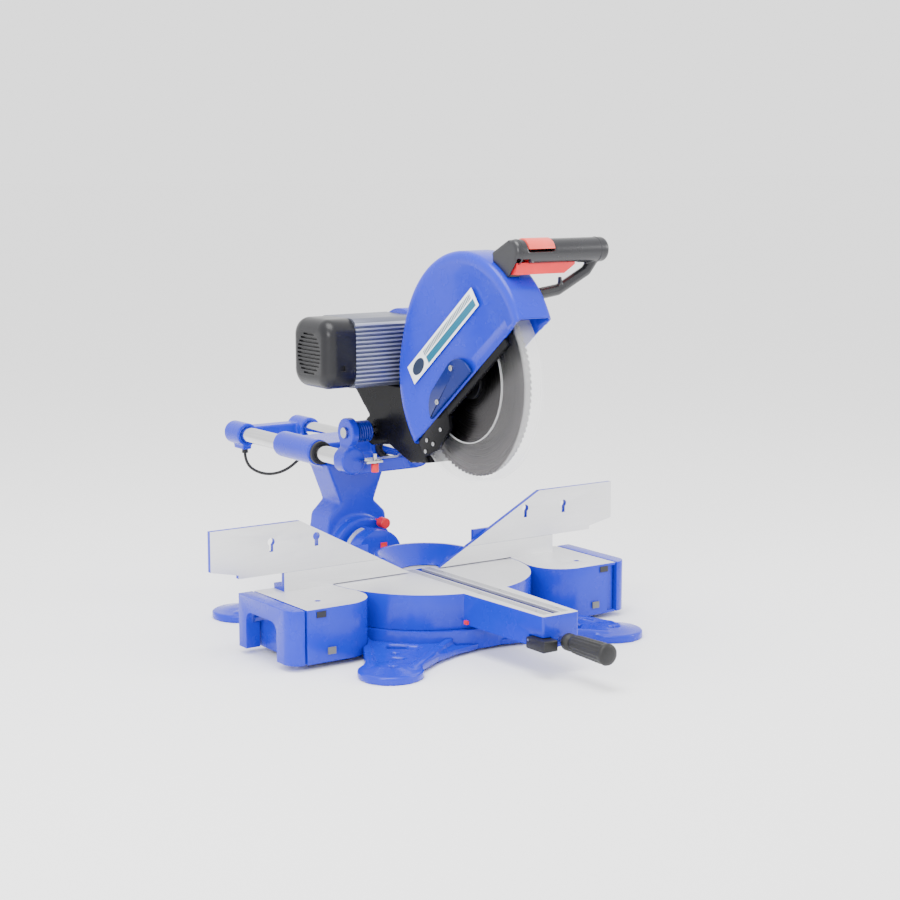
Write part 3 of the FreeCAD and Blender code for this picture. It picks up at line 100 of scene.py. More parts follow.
# The base is one aluminium casting: a round bed and two open-bottomed side tables, with four ribbed
# lug feet. It is powder coated in gloss blue, and the table tops are then milled bare.
class Socket:
    """One output of a shader node, for arithmetic and for further nodes."""

    def __init__(self, tree, out):
        self.tree, self.out = tree, out

    def node(self, kind, settings=None, output=None, **sockets):
        """Adds a node with its settings, then its inputs' values or links, and gives one output."""
        made = self.tree.nodes.new("ShaderNode" + kind)
        for name, value in (settings or {}).items():
            if name == "stops":
                while len(made.color_ramp.elements) < len(value):
                    made.color_ramp.elements.new(1.0)
                for stop, (spot, colour) in zip(made.color_ramp.elements, value):
                    stop.position, stop.color = spot, (*colour, 1)
            else:
                setattr(made, name, value)
        for name, value in sockets.items():
            wanted = name.replace("_", " ")
            slot = made.inputs["ab".index(name)] if name in ("a", "b") else next(
                s for s in made.inputs if s.enabled and s.name == wanted)
            if isinstance(value, Socket):
                self.tree.links.new(value.out, slot)
            else:
                slot.default_value = value
        outs = (o for o in made.outputs if o.enabled and output in (None, o.name))
        return Socket(self.tree, next(outs))

    def maths(self, operation, a, b=0.0):
        return self.node("Math", {"operation": operation}, a=a, b=b)

    def alone(self, operation):
        return self.maths(operation, self)

    def __add__(self, other):
        return self.maths("ADD", self, other)

    def __sub__(self, other):
        return self.maths("SUBTRACT", self, other)

    def __rsub__(self, other):
        return self.maths("SUBTRACT", other, self)

    def __mul__(self, other):
        return self.maths("MULTIPLY", self, other)

    def __gt__(self, other):
        return self.maths("GREATER_THAN", self, other)

    def __lt__(self, other):
        return self.maths("LESS_THAN", self, other)

    __radd__, __rmul__ = __add__, __mul__


def new_finish(name):
    """A new material, its shader, and the piece's own coordinates for patterns."""
    material = bpy.data.materials.new(name)
    material.use_nodes = True
    tree = material.node_tree
    place = Socket(tree, tree.nodes.new("ShaderNodeTexCoord").outputs["Object"])
    return material, tree.nodes["Principled BSDF"], place


def set_finish(shader, **values):
    """Sets or links the shader's sockets by name."""
    for name, value in values.items():
        slot = shader.inputs[name.replace("_", " ")]
        if isinstance(value, Socket):
            value.tree.links.new(value.out, slot)
        else:
            slot.default_value = value


def grain(place, scale, detail=2.0, stretch=(1, 1, 1)):
    """Cloudy variation from 0 to 1; a stretch draws it out into streaks."""
    spread = place.node("Mapping", Vector=place, Scale=stretch)
    return place.node("TexNoise", Vector=spread, Scale=scale, Detail=detail)


def tint(place, factor, a, b):
    """A colour between a and b."""
    a, b = ((*colour, 1) if isinstance(colour, tuple) else colour for colour in (a, b))
    return place.node("Mix", {"data_type": "RGBA"}, Factor=factor, A=a, B=b)


def relief(place, height, distance, strength=1.0):
    """A bump of this height in metres."""
    return place.node("Bump", Height=height, Distance=distance, Strength=strength)


def along(place, axis):
    """How far a place is along X, Y or Z."""
    return place.node("SeparateXYZ", output=axis, Vector=place)


BLUE = (0.006, 0.018, 0.5)
MILLED = (0.83, 0.83, 0.84)


def shaded(colour, share):
    """The same colour, darker or lighter."""
    return tuple(c * share for c in colour)


def powder_coat(name, colour, bare=None, stretch=(3, 260, 3), shine=0.24):
    """Powder coat with slight orange peel and dust; where bare(place) is 1 the metal is milled."""
    material, shader, place = new_finish(name)
    cloud, dust, peel = grain(place, 6.0), grain(place, 38.0, 5.0), grain(place, 380.0, 1.0)
    coat = tint(place, cloud, shaded(colour, 0.8), shaded(colour, 1.2))
    rough = 0.16 + 0.2 * dust
    set_finish(shader, Specular_IOR_Level=shine, Coat_Roughness=0.08)
    if bare is None:
        set_finish(shader, Base_Color=coat, Roughness=rough, Coat_Weight=shine * 0.6,
                   Normal=relief(place, peel, 0.00015, 0.4))
        return material
    shown, lines, smear = bare(place), grain(place, 5.0, 4.0, stretch), grain(place, 16.0, 4.0)
    milled = tint(place, lines, shaded(MILLED, 0.8), MILLED)
    milled = tint(place, smear * 0.35, milled, shaded(MILLED, 0.78))
    set_finish(shader, Base_Color=tint(place, shown, coat, milled), Metallic=shown * 0.6,
               Roughness=rough + shown * (0.02 + 0.22 * lines), Coat_Weight=shine * 0.6 * (1 - shown),
               Normal=relief(place, peel * (1 - shown) + lines * shown * 0.5, 0.00015, 0.4))
    return material


def body_of(node):
    """The moving body that a CAD node belongs to."""
    bodies = frame["record"]["behaviour"]["bodies"]
    return next(body for body, names in bodies.items() if node in names)


def new_piece(name, mesh, material, body, *stands_for):
    """A mesh object with one material that rides on a body and stands for these CAD nodes."""
    mesh.materials.clear()
    mesh.materials.append(material)
    piece = bpy.data.objects.new(name, mesh)
    bpy.context.collection.objects.link(piece)
    if stands_for:
        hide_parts(*stands_for)
    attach(piece, body)
    return piece


def merged_copy(node):
    """A CAD node's mesh with its loose triangles joined into faces."""
    work = bmesh.new()
    work.from_mesh(nodes[node].data)
    bmesh.ops.remove_doubles(work, verts=work.verts, dist=2e-6)
    bmesh.ops.dissolve_limit(work, angle_limit=math.radians(0.6), verts=work.verts, edges=work.edges)
    for face in work.faces:
        face.smooth = True
    mesh = bpy.data.meshes.new(node + "_edged")
    work.to_mesh(mesh)
    work.free()
    return mesh


def round_edges(piece, width, segments=3, sharp=32):
    """Breaks a machined or moulded piece's sharp edges."""
    rounding = piece.modifiers.new("rounding", "BEVEL")
    rounding.width, rounding.segments = width, segments
    rounding.limit_method, rounding.angle_limit = "ANGLE", math.radians(sharp)
    rounding.harden_normals = True
    return piece


def edged(node, material, width):
    """Stands for a CAD node with the same form, its edges broken."""
    piece = new_piece(node + "_edged", merged_copy(node), material, body_of(node), node)
    return round_edges(piece, width)


def flowed(node, material, voxel, passes):
    """Stands for a CAD node with the same form, its corners flowed as sand casting leaves them."""
    piece = new_piece(node + "_cast", merged_copy(node), material, body_of(node), node)
    skin = piece.modifiers.new("skin", "REMESH")
    skin.mode, skin.voxel_size, skin.use_smooth_shade = "VOXEL", voxel, True
    flow = piece.modifiers.new("flow", "SMOOTH")
    flow.factor, flow.iterations = 0.5, passes
    bpy.context.view_layer.update()
    done = bpy.data.meshes.new_from_object(piece.evaluated_get(bpy.context.evaluated_depsgraph_get()))
    piece.modifiers.clear()
    piece.data = done
    return piece


def bare_node(node, material):
    """Gives a CAD node whose shape is right its finish."""
    nodes[node].data.materials.clear()
    nodes[node].data.materials.append(material)


table_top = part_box("kerf_insert_left")[1].z
milled_table = powder_coat("milled_table", BLUE, lambda place: (along(place, "Z") > table_top - 0.0002)
                           * (along(place, "Z") < table_top + 0.0005))
blue_coat = powder_coat("blue_coat", BLUE)
edged("base_casting", milled_table, 0.0016)
flowed("base_feet", blue_coat, 0.0028, 5)

# Nylon slide blocks sit in the side tables' front walls, their upper part painted near-black as the
# shade of clamp slots above them, and a turned steel pin and nut hold the turntable down.
moulding, moulding_shader, place = new_finish("slide_block_nylon")
skin, high = grain(place, 900.0, 1.0), along(place, "Z") > 0.06
# Above 6 cm up the blocks are painted near-black: painted shade standing for the clamp slots.
set_finish(moulding_shader, Base_Color=tint(place, high, (0.13, 0.13, 0.12), (0.008, 0.008, 0.012)),
           Roughness=0.35 + 0.2 * grain(place, 60.0), Normal=relief(place, skin, 0.0001))
bare_node("guide_blocks", moulding)


def worked_metal(name, colour, rough, stretch=(1, 1, 1), scale=60.0, spread=0.16, depth=0.00006):
    """Bare metal whose polish varies along its grinding lines."""
    material, shader, place = new_finish(name)
    lines, stain = grain(place, scale, 3.0, stretch), grain(place, 22.0, 4.0)
    shade = tint(place, lines, shaded(colour, 0.72), colour)
    set_finish(shader, Base_Color=tint(place, stain * 0.4, shade, shaded(colour, 0.6)), Metallic=1.0,
               Roughness=rough + spread * lines, Normal=relief(place, lines, depth, 0.5))
    return material


turned_steel = worked_metal("turned_steel", (0.56, 0.56, 0.57), 0.2)
bare_node("turntable_bolt", turned_steel)

# Each table extension is a cast end block with a carrying arch, on two ground and chromed rods that
# slide in the side table.
chrome = worked_metal("ground_chrome", (0.78, 0.78, 0.79), 0.05, (60, 1.5, 60), 4.0, 0.12, 0.00002)
rod_chrome = worked_metal("rod_chrome", (0.78, 0.78, 0.79), 0.06, (1.5, 60, 60), 4.0, 0.12, 0.00002)
for side in ("left", "right"):
    edged("extension_" + side, blue_coat, 0.0022)
    bare_node("extension_rods_" + side, rod_chrome)

# The lower fence is a casting bowed back behind the blade, bolted to the base. The upper plates slide
# along it on a tongue and are clamped by black knobs. Their faces are milled, with blue edges.
milled_fence = powder_coat("milled_fence", BLUE, lambda place: along(place, "Y") < 0.0004, (4, 4, 260))
edged("lower_fence", milled_fence, 0.0008)
bare_node("fence_bolts", turned_steel)


def moulded(name, colour, rough=0.4, texture=0.00012, scale=1400.0, shine=0.3):
    """Moulded plastic or rubber with a fine spark-eroded skin and handling shine."""
    material, shader, place = new_finish(name)
    cloud, skin = grain(place, 18.0, 4.0), grain(place, scale, 1.0)
    set_finish(shader, Base_Color=tint(place, cloud, shaded(colour, 0.75), shaded(colour, 1.25)),
               Roughness=rough - 0.1 + 0.2 * cloud, Normal=relief(place, skin, texture, 0.5),
               Specular_IOR_Level=shine)
    return material


black_nylon = moulded("black_nylon", (0.013, 0.013, 0.014))
# Along a knob from its plate: each step back, and how much wider or narrower its outline gets.
KNOB_STEPS = ((0.008, 1.0), (0.0, 2.9), (0.002, 1.12), (0.014, 1.0), (0.0015, 0.9), (0.0, 0.75))
LOBES, LOBE_DEPTH = 6, 0.06
for side in ("left", "right"):
    edged("upper_fence_" + side, milled_fence, 0.0008)
    low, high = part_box("fence_knob_" + side)
    centre, radius = (low + high) / 2, (high.z - low.z) / 2
    work = bmesh.new()
    bmesh.ops.create_circle(work, segments=48, radius=radius * 0.3, matrix=Matrix.Translation(
        (centre.x, low.y, centre.z)) @ Matrix.Rotation(math.radians(90), 4, "X"))
    ring = work.edges[:]
    for step, scale in KNOB_STEPS:
        grown = bmesh.ops.extrude_edge_only(work, edges=ring)["geom"]
        verts = [v for v in grown if isinstance(v, bmesh.types.BMVert)]
        ring = [e for e in grown if isinstance(e, bmesh.types.BMEdge)]
        middle = Vector((centre.x, verts[0].co.y, centre.z))
        for v in verts:
            v.co = middle + (v.co - middle) * scale + Vector((0, step, 0))
    bmesh.ops.holes_fill(work, edges=work.edges)
    for v in work.verts:
        lobe = math.cos(LOBES * math.atan2(v.co.z - centre.z, v.co.x - centre.x))
        reach = Vector((v.co.x - centre.x, 0, v.co.z - centre.z))
        if reach.length > radius * 0.8:
            v.co -= reach * LOBE_DEPTH * (1 - lobe)
    bmesh.ops.recalc_face_normals(work, faces=work.faces)
    for face in work.faces:
        face.smooth = True
    knob = bpy.data.meshes.new("fence_knob_" + side)
    work.to_mesh(knob)
    work.free()
    round_edges(new_piece("lobed_knob_" + side, knob, black_nylon, "fence_" + side,
                          "fence_knob_" + side), 0.0008)

# The turntable is a deep ribbed casting with a front arm and a rear trunnion, coated and milled like
# the base. Two drawn strips beside the kerf are ribbed across and held down by countersunk screws.
edged("turntable", milled_table, 0.0014)
strip, strip_shader, place = new_finish("ribbed_strip")
ribs = place.node("TexWave", {"bands_direction": "Y"}, output="Fac", Vector=place, Scale=75.0)
# The grooves between the ribs are painted dark grey as the shade in them; the ribs stay light metal.
shaded_grooves = (ribs > 0.5) * (along(place, "X").alone("ABSOLUTE") > 0.011)
set_finish(strip_shader, Base_Color=tint(place, shaded_grooves, (0.66, 0.66, 0.68), (0.2, 0.2, 0.23)),
           Metallic=0.7, Roughness=0.3 + 0.2 * grain(place, 30.0), Normal=relief(place, 1 - shaded_grooves, 0.0003))
for node in ("kerf_insert_left", "kerf_insert_right"):
    bare_node(node, strip)
bare_node("kerf_screws", turned_steel)
bare_node("detent_pin", turned_steel)
bare_node("mitre_lock_screw", turned_steel)

# The mitre lock is a rubber grip on a steel screw: a tapered, knurled barrel with a domed end.
grip_low, grip_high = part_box("mitre_grip")
centre = (grip_low + grip_high) / 2
grip_rubber = moulded("grip_rubber", (0.017, 0.017, 0.018), 0.5, 0.0002, 700.0)
work = bmesh.new()
bmesh.ops.create_circle(work, segments=64, radius=0.009, matrix=Matrix.Translation(
    (centre.x, grip_high.y, centre.z)) @ Matrix.Rotation(math.radians(90), 4, "X"))
ring = work.edges[:]
# The barrel's radius at each distance from its root: a flange, a neck, the ribbed taper and the dome.
flange_and_neck = [(0.0, 0.0125), (0.002, 0.0135), (0.012, 0.0135), (0.014, 0.0112), (0.017, 0.0112),
                   (0.019, 0.0135)]
RIB_PITCH, RIB_HEIGHT, RIB_TAPER = 0.0038, 0.0004, 0.00011
ribbed = [(0.019 + RIB_PITCH * i, 0.0137 + RIB_TAPER * i + (RIB_HEIGHT if i % 2 else 0))
          for i in range(1, 19)]
dome = [(0.091, 0.0160), (0.0955, 0.0168), (0.0985, 0.0158), (0.1005, 0.0125), (0.1016, 0.007),
        (0.1019, 0.001)]
for back, radius in flange_and_neck + ribbed + dome:
    grown = bmesh.ops.extrude_edge_only(work, edges=ring)["geom"]
    ring = [e for e in grown if isinstance(e, bmesh.types.BMEdge)]
    for v in (v for v in grown if isinstance(v, bmesh.types.BMVert)):
        out = Vector((v.co.x - centre.x, 0, v.co.z - centre.z)).normalized()
        v.co = Vector((centre.x, grip_high.y - back, centre.z)) + out * radius
bmesh.ops.holes_fill(work, edges=work.edges)
FLUTES, FLUTE_DEPTH = 16, 0.0006
for v in work.verts:
    back = grip_high.y - v.co.y
    if 0.024 < back < 0.09:
        turn = math.atan2(v.co.z - centre.z, v.co.x - centre.x)
        out = Vector((v.co.x - centre.x, 0, v.co.z - centre.z)).normalized()
        v.co += out * FLUTE_DEPTH * math.cos(FLUTES * turn)
bmesh.ops.recalc_face_normals(work, faces=work.faces)
for face in work.faces:
    face.smooth = True
barrel = bpy.data.meshes.new("mitre_barrel")
work.to_mesh(barrel)
work.free()
new_piece("mitre_barrel", barrel, grip_rubber, "mitre_handle", "mitre_grip")
edged("detent_lever", black_nylon, 0.0022)

# Small pressed pointers in red show the mitre and bevel angles, against an etched bevel scale.
red_nylon = moulded("red_nylon", (0.72, 0.022, 0.03), 0.3)
for node in ("mitre_pointer", "bevel_pointer"):
    bare_node(node, red_nylon)
etched, etched_shader, place = new_finish("etched_scale")
turn = place.maths("ARCTAN2", along(place, "Z") - table_top, along(place, "X"))
marks = (turn * (math.degrees(1) / 2)).alone("FRACT") < 0.2
set_finish(etched_shader, Base_Color=tint(place, marks, (0.75, 0.76, 0.78), (0.05, 0.05, 0.06)),
           Metallic=0.5, Roughness=0.32 + 0.1 * grain(place, 50.0))
bare_node("bevel_scale", etched)

# The tilting arm is one casting: a round hub, a waisted neck, a web and two bearing housings, with
# felt seals where the rails come out, a red stop knob and a black lever that locks the tilt.
flowed("bevel_arm", blue_coat, 0.0024, 7)
edged("rail_seals", grip_rubber, 0.0012)
bare_node("bevel_bolt", turned_steel)
bare_node("rail_set_screw", turned_steel)
edged("bevel_stop_knob", red_nylon, 0.0015)
flowed("bevel_lever", black_nylon, 0.0012, 3)

# The carriage is two chromed tubes with a cast yoke behind and a cast hinge bracket in front, where
# a coiled spring lifts the head. A red-capped screw sets the depth of cut.
for node in ("rail_left", "rail_right"):
    bare_node(node, chrome)
flowed("rear_yoke", blue_coat, 0.0018, 5)
flowed("hinge_bracket", blue_coat, 0.0018, 4)
for node in ("yoke_screws", "hinge_pin", "depth_screw"):
    bare_node(node, turned_steel)
edged("stop_plate", turned_steel, 0.0006)
edged("depth_knob", red_nylon, 0.001)
low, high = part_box("torsion_spring")
WIRE, TURNS, STEPS_A_TURN = 0.0024, 6, 12
hinge, coil = (low + high) / 2, (high.z - low.z) / 2 - WIRE
wire = bpy.data.curves.new("spring_wire", "CURVE")
wire.dimensions, wire.bevel_depth, wire.bevel_resolution, wire.use_fill_caps = "3D", 0.0022, 3, True
helix = wire.splines.new("NURBS")
steps = TURNS * STEPS_A_TURN
helix.points.add(steps)
for i, point in enumerate(helix.points):
    swing = i * math.tau / STEPS_A_TURN
    point.co = (low.x + 0.0026 + (high.x - low.x - 0.0052) * i / steps,
                hinge.y + coil * math.cos(swing), hinge.z + coil * math.sin(swing), 1)
helix.order_u, helix.use_endpoint_u = 4, True
holder = bpy.data.objects.new("spring_wire", wire)
bpy.context.collection.objects.link(holder)
bpy.context.view_layer.update()
coils = bpy.data.meshes.new_from_object(holder.evaluated_get(bpy.context.evaluated_depsgraph_get()))
bpy.data.objects.remove(holder)
for face in coils.polygons:
    face.use_smooth = True
spring_coat = powder_coat("spring_coat", (0.006, 0.014, 0.25))
new_piece("spring_coils", coils, spring_coat, "carriage", "torsion_spring")

# The upper guard is a deep pressed steel shell, open below, with stepped ridges round its sides. Two
# screws hold a dark blue cover over the blade bolt, and a printed plate is stuck above it.
hub = (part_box("blade")[0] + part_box("blade")[1]) / 2
low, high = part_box("upper_guard")
slope, lean = math.radians(38.3), math.radians(16)
GUARD_RADIUS, GUARD_RISE, MOUTH_BELOW = 0.168, 0.04, 0.014
up = Vector((0, math.sin(slope), math.cos(slope)))
rise = Vector((0, -math.sin(lean), math.cos(lean))) * GUARD_RISE
work = bmesh.new()
facing_side = Matrix.Rotation(math.radians(90), 4, "Y")
bmesh.ops.create_circle(work, cap_ends=True, segments=150, radius=GUARD_RADIUS,
                        matrix=Matrix.Translation((low.x, hub.y, hub.z)) @ facing_side)
for v in work.verts:
    if (v.co - hub).dot(rise) > 0:
        v.co += rise
bmesh.ops.bisect_plane(work, geom=work.verts[:] + work.edges[:] + work.faces[:],
                       plane_co=hub - up * MOUTH_BELOW, plane_no=up, clear_inner=True)


def pulled_out(work, faces, along_x):
    """Extrudes faces by a distance along X, and gives what grew."""
    grown = bmesh.ops.extrude_face_region(work, geom=faces)["geom"]
    moved = [v for v in grown if isinstance(v, bmesh.types.BMVert)]
    bmesh.ops.translate(work, verts=moved, vec=(along_x, 0, 0))
    return grown


pulled_out(work, work.faces[:], high.x - low.x)
bmesh.ops.recalc_face_normals(work, faces=work.faces)


def is_slope(face):
    """The open mouth along the guard's sloping edge."""
    height = (face.calc_center_median() - hub).dot(up)
    return face.normal.dot(-up) > 0.98 and abs(height + MOUTH_BELOW) < 1e-4


mouth = [f for f in work.faces if is_slope(f)]
bmesh.ops.delete(work, geom=mouth, context="FACES_ONLY")
rim = [e for e in work.edges if len(e.link_faces) == 2 and e.calc_face_angle() > 1.2]
bmesh.ops.bevel(work, geom=rim, offset=0.009, segments=5, profile=0.5, affect="EDGES", material=-1)
# Two pressed ridges run round each side: their insets from the rim, and how far each steps in.
RIDGES = ((0.010, 0.0), (0.0025, -0.0016), (0.011, 0.0), (0.0025, -0.0016))
for side_x in (low.x, high.x):
    flat = [f for f in work.faces if abs(f.calc_center_median().x - side_x) < 1e-4]
    face = max(flat, key=lambda f: f.calc_area())
    for inset, step in RIDGES:
        bmesh.ops.inset_region(work, faces=[face], thickness=inset, depth=step, use_even_offset=True)
for face in work.faces:
    face.smooth = True
shell = bpy.data.meshes.new("guard_shell")
work.to_mesh(shell)
work.free()
guard = new_piece("guard_shell", shell, blue_coat, "head", "upper_guard")
wall = guard.modifiers.new("wall", "SOLIDIFY")
wall.thickness, wall.offset = 0.0032, -1.0
guard.data.set_sharp_from_angle(angle=math.radians(50))
cover_blue = powder_coat("cover_blue", (0.004, 0.012, 0.13), shine=0.15)
COVER_RADIUS, COVER_THICK = 0.042, 0.006
middle, reach = Vector((low.x, hub.y - 0.012, hub.z - 0.004)), Vector((0, 0.040, -0.041))
work = bmesh.new()
bmesh.ops.create_circle(work, cap_ends=True, segments=72, radius=COVER_RADIUS,
                        matrix=Matrix.Translation(middle) @ facing_side)
for v in work.verts:
    if (v.co - middle).dot(reach) > 0:
        v.co += reach
bmesh.ops.bisect_plane(work, geom=work.verts[:] + work.edges[:] + work.faces[:],
                       plane_co=hub - up * (MOUTH_BELOW - 0.0015), plane_no=up, clear_inner=True)
pulled_out(work, work.faces[:], -COVER_THICK)
bmesh.ops.recalc_face_normals(work, faces=work.faces)
outer_x = low.x - COVER_THICK + 0.001
edge_ring = [e for e in work.edges
             if e.calc_face_angle(0) > 1.2 and max(v.co.x for v in e.verts) < outer_x]
bmesh.ops.bevel(work, geom=edge_ring, offset=0.0025, segments=4, profile=0.5, affect="EDGES", material=-1)
for face in work.faces:
    face.smooth = face.calc_area() < 0.0001
cover = bpy.data.meshes.new("bolt_cover_plate")
work.to_mesh(cover)
work.free()
cover.set_sharp_from_angle(angle=math.radians(50))
new_piece("bolt_cover_plate", cover, cover_blue, "head", "bolt_cover")


def screw_heads(name, heads, radius, tall):
    """Domed socket screw heads that face left, from the points their heads stand on."""
    work = bmesh.new()
    for head in heads:
        facing_left = Matrix.Translation(head) @ Matrix.Rotation(math.radians(-90), 4, "Y")
        made = bmesh.ops.create_circle(work, cap_ends=True, segments=32, radius=radius,
                                       matrix=facing_left)
        grown = pulled_out(work, [made["verts"][0].link_faces[0]], -tall)
        top = next(f for f in grown if isinstance(f, bmesh.types.BMFace))
        chamfer, face, socket = (0.12, 0.15), (0.4, 0.0), (0.04, -0.7)
        for inset, step in (chamfer, face, socket):
            bmesh.ops.inset_region(work, faces=[top], thickness=radius * inset, depth=tall * step)
    bmesh.ops.recalc_face_normals(work, faces=work.faces)
    mesh = bpy.data.meshes.new(name)
    work.to_mesh(mesh)
    work.free()
    return mesh


cover_heads = [Vector((low.x - COVER_THICK, hub.y + back, hub.z + rise_by))
               for back, rise_by in ((0.042, -0.036), (0.004, 0.022))]
new_piece("cover_screw_heads", screw_heads("cover_screw_heads", cover_heads, 0.0045, 0.0024),
          turned_steel, "head", "cover_screws")
plate, plate_shader, place = new_finish("printed_plate")
ahead = Vector((0, math.cos(slope), -math.sin(slope)))


def from_hub_along(way):
    """How far a place is from the blade's centre in a direction."""
    across = place.node("VectorMath", {"operation": "DOT_PRODUCT"}, output="Value", a=place, b=tuple(way))
    return across - hub.dot(way)


u, w = from_hub_along(ahead), from_hub_along(up)
band = (u > -0.120) * (u < 0.045) * (w > 0.064) * (w < 0.077)
oval_u, oval_w = (u - 0.073) * 52, (w - 0.0765) * 88
oval = (oval_u * oval_u + oval_w * oval_w) < 1.0
wave = (u * 230.0).alone("FRACT")
blocks = (u > -0.116) * (u < 0.048) * (w > 0.0795) * (w < 0.0885) * (wave < 0.62)
film = tint(place, band, (0.86, 0.89, 0.9), (0.008, 0.12, 0.2))
film = tint(place, oval, film, (0.02, 0.03, 0.06))
film = tint(place, blocks, film, (0.02, 0.07, 0.11))
set_finish(plate_shader, Base_Color=film, Roughness=0.28 + 0.15 * grain(place, 30.0),
           Specular_IOR_Level=0.2)
bare_node("data_plate", plate)

# Black castings hold the head together: the arm from the hinge to the motor, and a chip deflector
# with four screws. A black rubber liner shows under the guard's sloping edge.
black_coat = powder_coat("black_coat", (0.004, 0.004, 0.005), shine=0.08)
flowed("head_arm", black_coat, 0.0022, 6)
edged("chip_deflector", black_coat, 0.0015)
deflector_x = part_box("chip_deflector")[0].x
deflector_heads = [Vector((deflector_x, hub.y + back, hub.z - down))
                   for back, down in ((0.047, 0.082), (0.068, 0.108), (0.086, 0.104), (0.090, 0.123))]
new_piece("deflector_screws", screw_heads("deflector_screws", deflector_heads, 0.0034, 0.002),
          turned_steel, "head")
LINER = (0.006, 0.25, 0.015)
work = bmesh.new()
strip_place = Matrix.Translation(hub + Vector((low.x + 0.0075 - hub.x, 0, 0)) + ahead * -0.02 - up * 0.0195)
bmesh.ops.create_cube(work, size=1.0, matrix=strip_place @ Matrix.Rotation(-slope, 4, "X")
                      @ Matrix.Diagonal((*LINER, 1)))
bmesh.ops.bevel(work, geom=work.edges[:], offset=0.0012, segments=2, profile=0.5, affect="EDGES",
                material=-1)
liner = bpy.data.meshes.new("guard_liner")
work.to_mesh(liner)
work.free()
new_piece("guard_liner", liner, black_coat, "head")

# The motor is a finned aluminium housing with a louvred black end cap. Its belt runs in a blue case
# on the right of the guard.
fin_metal, fin_shader, place = new_finish("fin_metal")
low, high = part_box("motor_housing")
shade = grain(place, 6.0, 3.0, (1, 25, 25))
# The housing's front 3.5 mm is painted light grey and the rest dark: a painted highlight along the fins'
# front edges.
behind_front_highlight = (along(place, "Y") > low.y + 0.0035)
set_finish(fin_shader, Base_Color=tint(place, behind_front_highlight, (0.42, 0.44, 0.52), (0.16, 0.17, 0.22)),
           Metallic=0.75, Roughness=0.26 + 0.22 * shade, Normal=relief(place, shade, 0.0001))
edged("motor_housing", fin_metal, 0.0007)
black_cap = moulded("cap_nylon", (0.009, 0.009, 0.011), 0.3, 0.00012)
edged("motor_cap", black_cap, 0.0012)
edged("drive_case", blue_coat, 0.0045)

# The blade is ground steel with a brushed body and tipped teeth, between two flanges on the arbor.
# A clear moulded guard hangs over its front.
ground, ground_shader, place = new_finish("ground_blade")
from_hub = place.node("VectorMath", {"operation": "SUBTRACT"}, a=place, b=tuple(hub))
radius = from_hub.node("VectorMath", {"operation": "LENGTH"}, output="Value", a=from_hub)
rings = place.node("TexNoise", {"noise_dimensions": "1D"}, W=radius * 900.0, Scale=1.0, Detail=4.0)
swirl = place.node("TexNoise", {"noise_dimensions": "1D"}, W=radius * 60.0, Scale=1.0, Detail=2.0)
BLADE_SHADES = ((0.0, (0.02, 0.02, 0.022)), (0.5, (0.045, 0.043, 0.044)), (0.72, (0.05, 0.047, 0.049)),
                (0.92, (0.085, 0.08, 0.083)))
dark = radius.node("ValToRGB", {"stops": BLADE_SHADES}, Fac=radius * 6.5)
set_finish(ground_shader, Base_Color=tint(place, rings * 0.3, dark, (0.09, 0.086, 0.09)), Metallic=1.0,
           Roughness=0.14 + 0.2 * rings + 0.1 * swirl, Normal=relief(place, rings, 0.00004, 0.5))
bare_node("blade", ground)
oxide = worked_metal("black_oxide", (0.035, 0.035, 0.038), 0.35)
edged("blade_flanges", oxide, 0.0006)
bare_node("arbor_bolt", oxide)
clear, clear_shader, place = new_finish("clear_moulding")
haze, scuffs = grain(place, 25.0, 4.0), grain(place, 9.0, 5.0)
from_hub = place.node("VectorMath", {"operation": "SUBTRACT"}, a=place, b=tuple(hub))
from_hub = place.node("VectorMath", {"operation": "MULTIPLY"}, a=from_hub, b=(0, 1, 1))
out = from_hub.node("VectorMath", {"operation": "LENGTH"}, output="Value", a=from_hub)
# Whiter, more opaque bands at the lip and at the outer rim are painted glints on the clear edges.
lip_glint = (out < 0.0992) * (out > 0.0968)
rim = out > 0.1575
set_finish(clear_shader, Base_Color=tint(place, haze, (0.9, 0.91, 0.92), (1.0, 1.0, 1.0)),
           Roughness=0.04 + 0.1 * scuffs, Alpha=0.008 + 0.014 * scuffs + 0.3 * lip_glint + 0.16 * rim)
bare_node("lower_guard", clear)

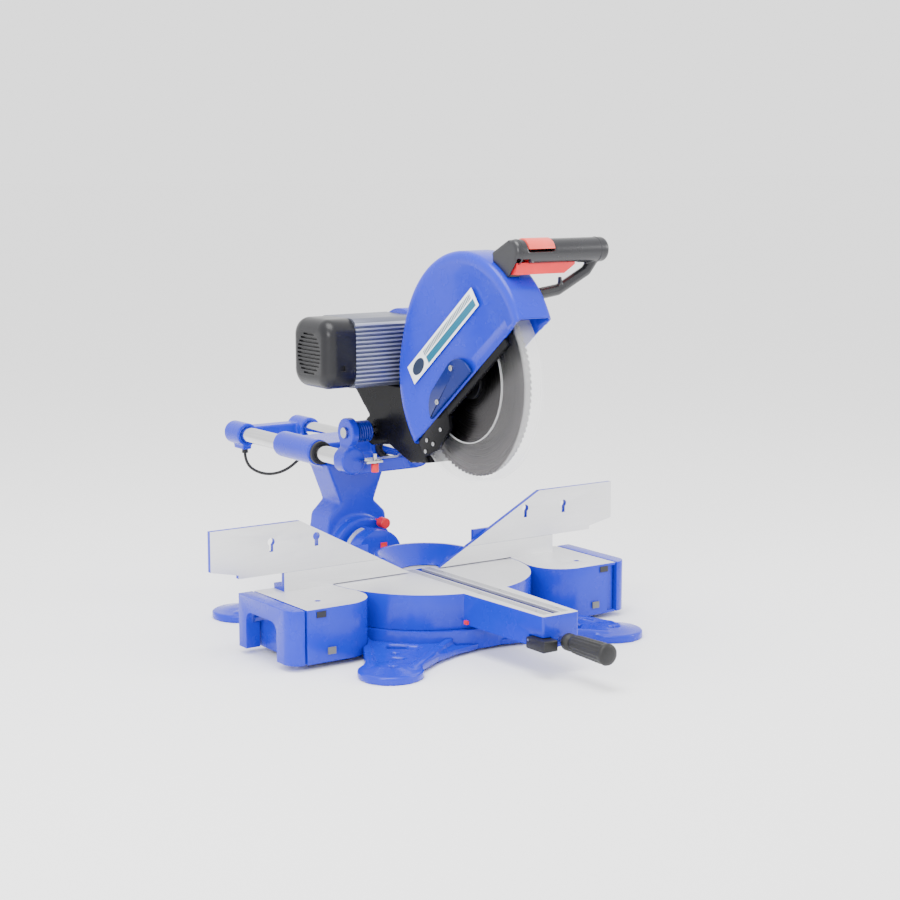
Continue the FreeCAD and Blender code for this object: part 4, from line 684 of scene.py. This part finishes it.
# The handle is a moulded D grip across the saw with a raised collar at each end, a switch trigger
# under it, a thumb release on top and a strut that closes the loop.
handle_nylon = moulded("handle_nylon", (0.013, 0.013, 0.016), 0.28, 0.00012, 1100.0, 0.5)
flowed("handle", handle_nylon, 0.0013, 9)
low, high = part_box("handle")
grip_z, grip_y = high.z - 0.0195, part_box("trigger_pin")[0].y + 0.013
COLLAR_ROOT, COLLAR_TOP = 0.0190, 0.0200
for name, x in (("grip_collar_left", low.x + 0.009), ("grip_collar_right", high.x - 0.018)):
    work = bmesh.new()
    bmesh.ops.create_circle(work, segments=64, radius=COLLAR_ROOT,
                            matrix=Matrix.Translation((x, grip_y, grip_z)) @ facing_side)
    ring = work.edges[:]
    for step, radius in ((0.0006, COLLAR_TOP), (0.0012, COLLAR_TOP), (0.0006, COLLAR_ROOT)):
        grown = bmesh.ops.extrude_edge_only(work, edges=ring)["geom"]
        ring = [e for e in grown if isinstance(e, bmesh.types.BMEdge)]
        for v in (v for v in grown if isinstance(v, bmesh.types.BMVert)):
            out = Vector((0, v.co.y - grip_y, v.co.z - grip_z)).normalized()
            v.co = Vector((v.co.x + step, grip_y, grip_z)) + out * radius
    bmesh.ops.bridge_loops(work, edges=[e for e in work.edges if e.is_boundary])
    bmesh.ops.recalc_face_normals(work, faces=work.faces)
    collar = bpy.data.meshes.new(name)
    work.to_mesh(collar)
    work.free()
    new_piece(name, collar, handle_nylon, "head")
bare_node("trigger_pin", turned_steel)
edged("trigger", red_nylon, 0.002)
edged("lock_button", moulded("salmon_nylon", (0.8, 0.09, 0.07), 0.32), 0.001)

# A short rubber cable hangs in one loop from its gland under the yoke to the bevel arm's web.
cable_rubber = moulded("cable_rubber", (0.012, 0.012, 0.013), 0.42, 0.0001)
route = ((-67, 494, 238), (-67, 494, 229), (-65, 484, 214), (-60, 464, 206), (-52, 440, 203.5),
         (-42, 416, 208), (-30, 396, 219), (-16, 380, 238), (-5, 372, 256), (0, 362, 266),
         (0, 350.3, 266))
cable = bpy.data.curves.new("cable_route", "CURVE")
cable.dimensions, cable.resolution_u, cable.use_fill_caps = "3D", 8, True
line = cable.splines.new("NURBS")
line.points.add(len(route) - 1)
for point, spot in zip(line.points, route):
    point.co = (*(c / 1000 for c in spot), 1)
line.order_u, line.use_endpoint_u = 3, True
holder = bpy.data.objects.new("cable_route", cable)
bpy.context.collection.objects.link(holder)
bpy.context.view_layer.update()
middle = bpy.data.meshes.new_from_object(holder.evaluated_get(bpy.context.evaluated_depsgraph_get()))
cable.bevel_depth, cable.bevel_resolution = 0.00275, 4
bpy.context.view_layer.update()
tube = bpy.data.meshes.new_from_object(holder.evaluated_get(bpy.context.evaluated_depsgraph_get()))
bpy.data.objects.remove(holder)
for face in tube.polygons:
    face.use_smooth = True
tube.materials.clear()
tube.materials.append(cable_rubber)
lead = bpy.data.objects.new("cable", tube)
bpy.context.collection.objects.link(lead)
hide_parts("cable_loop")
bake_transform(lead)
bare_node("cable_gland", cable_rubber)
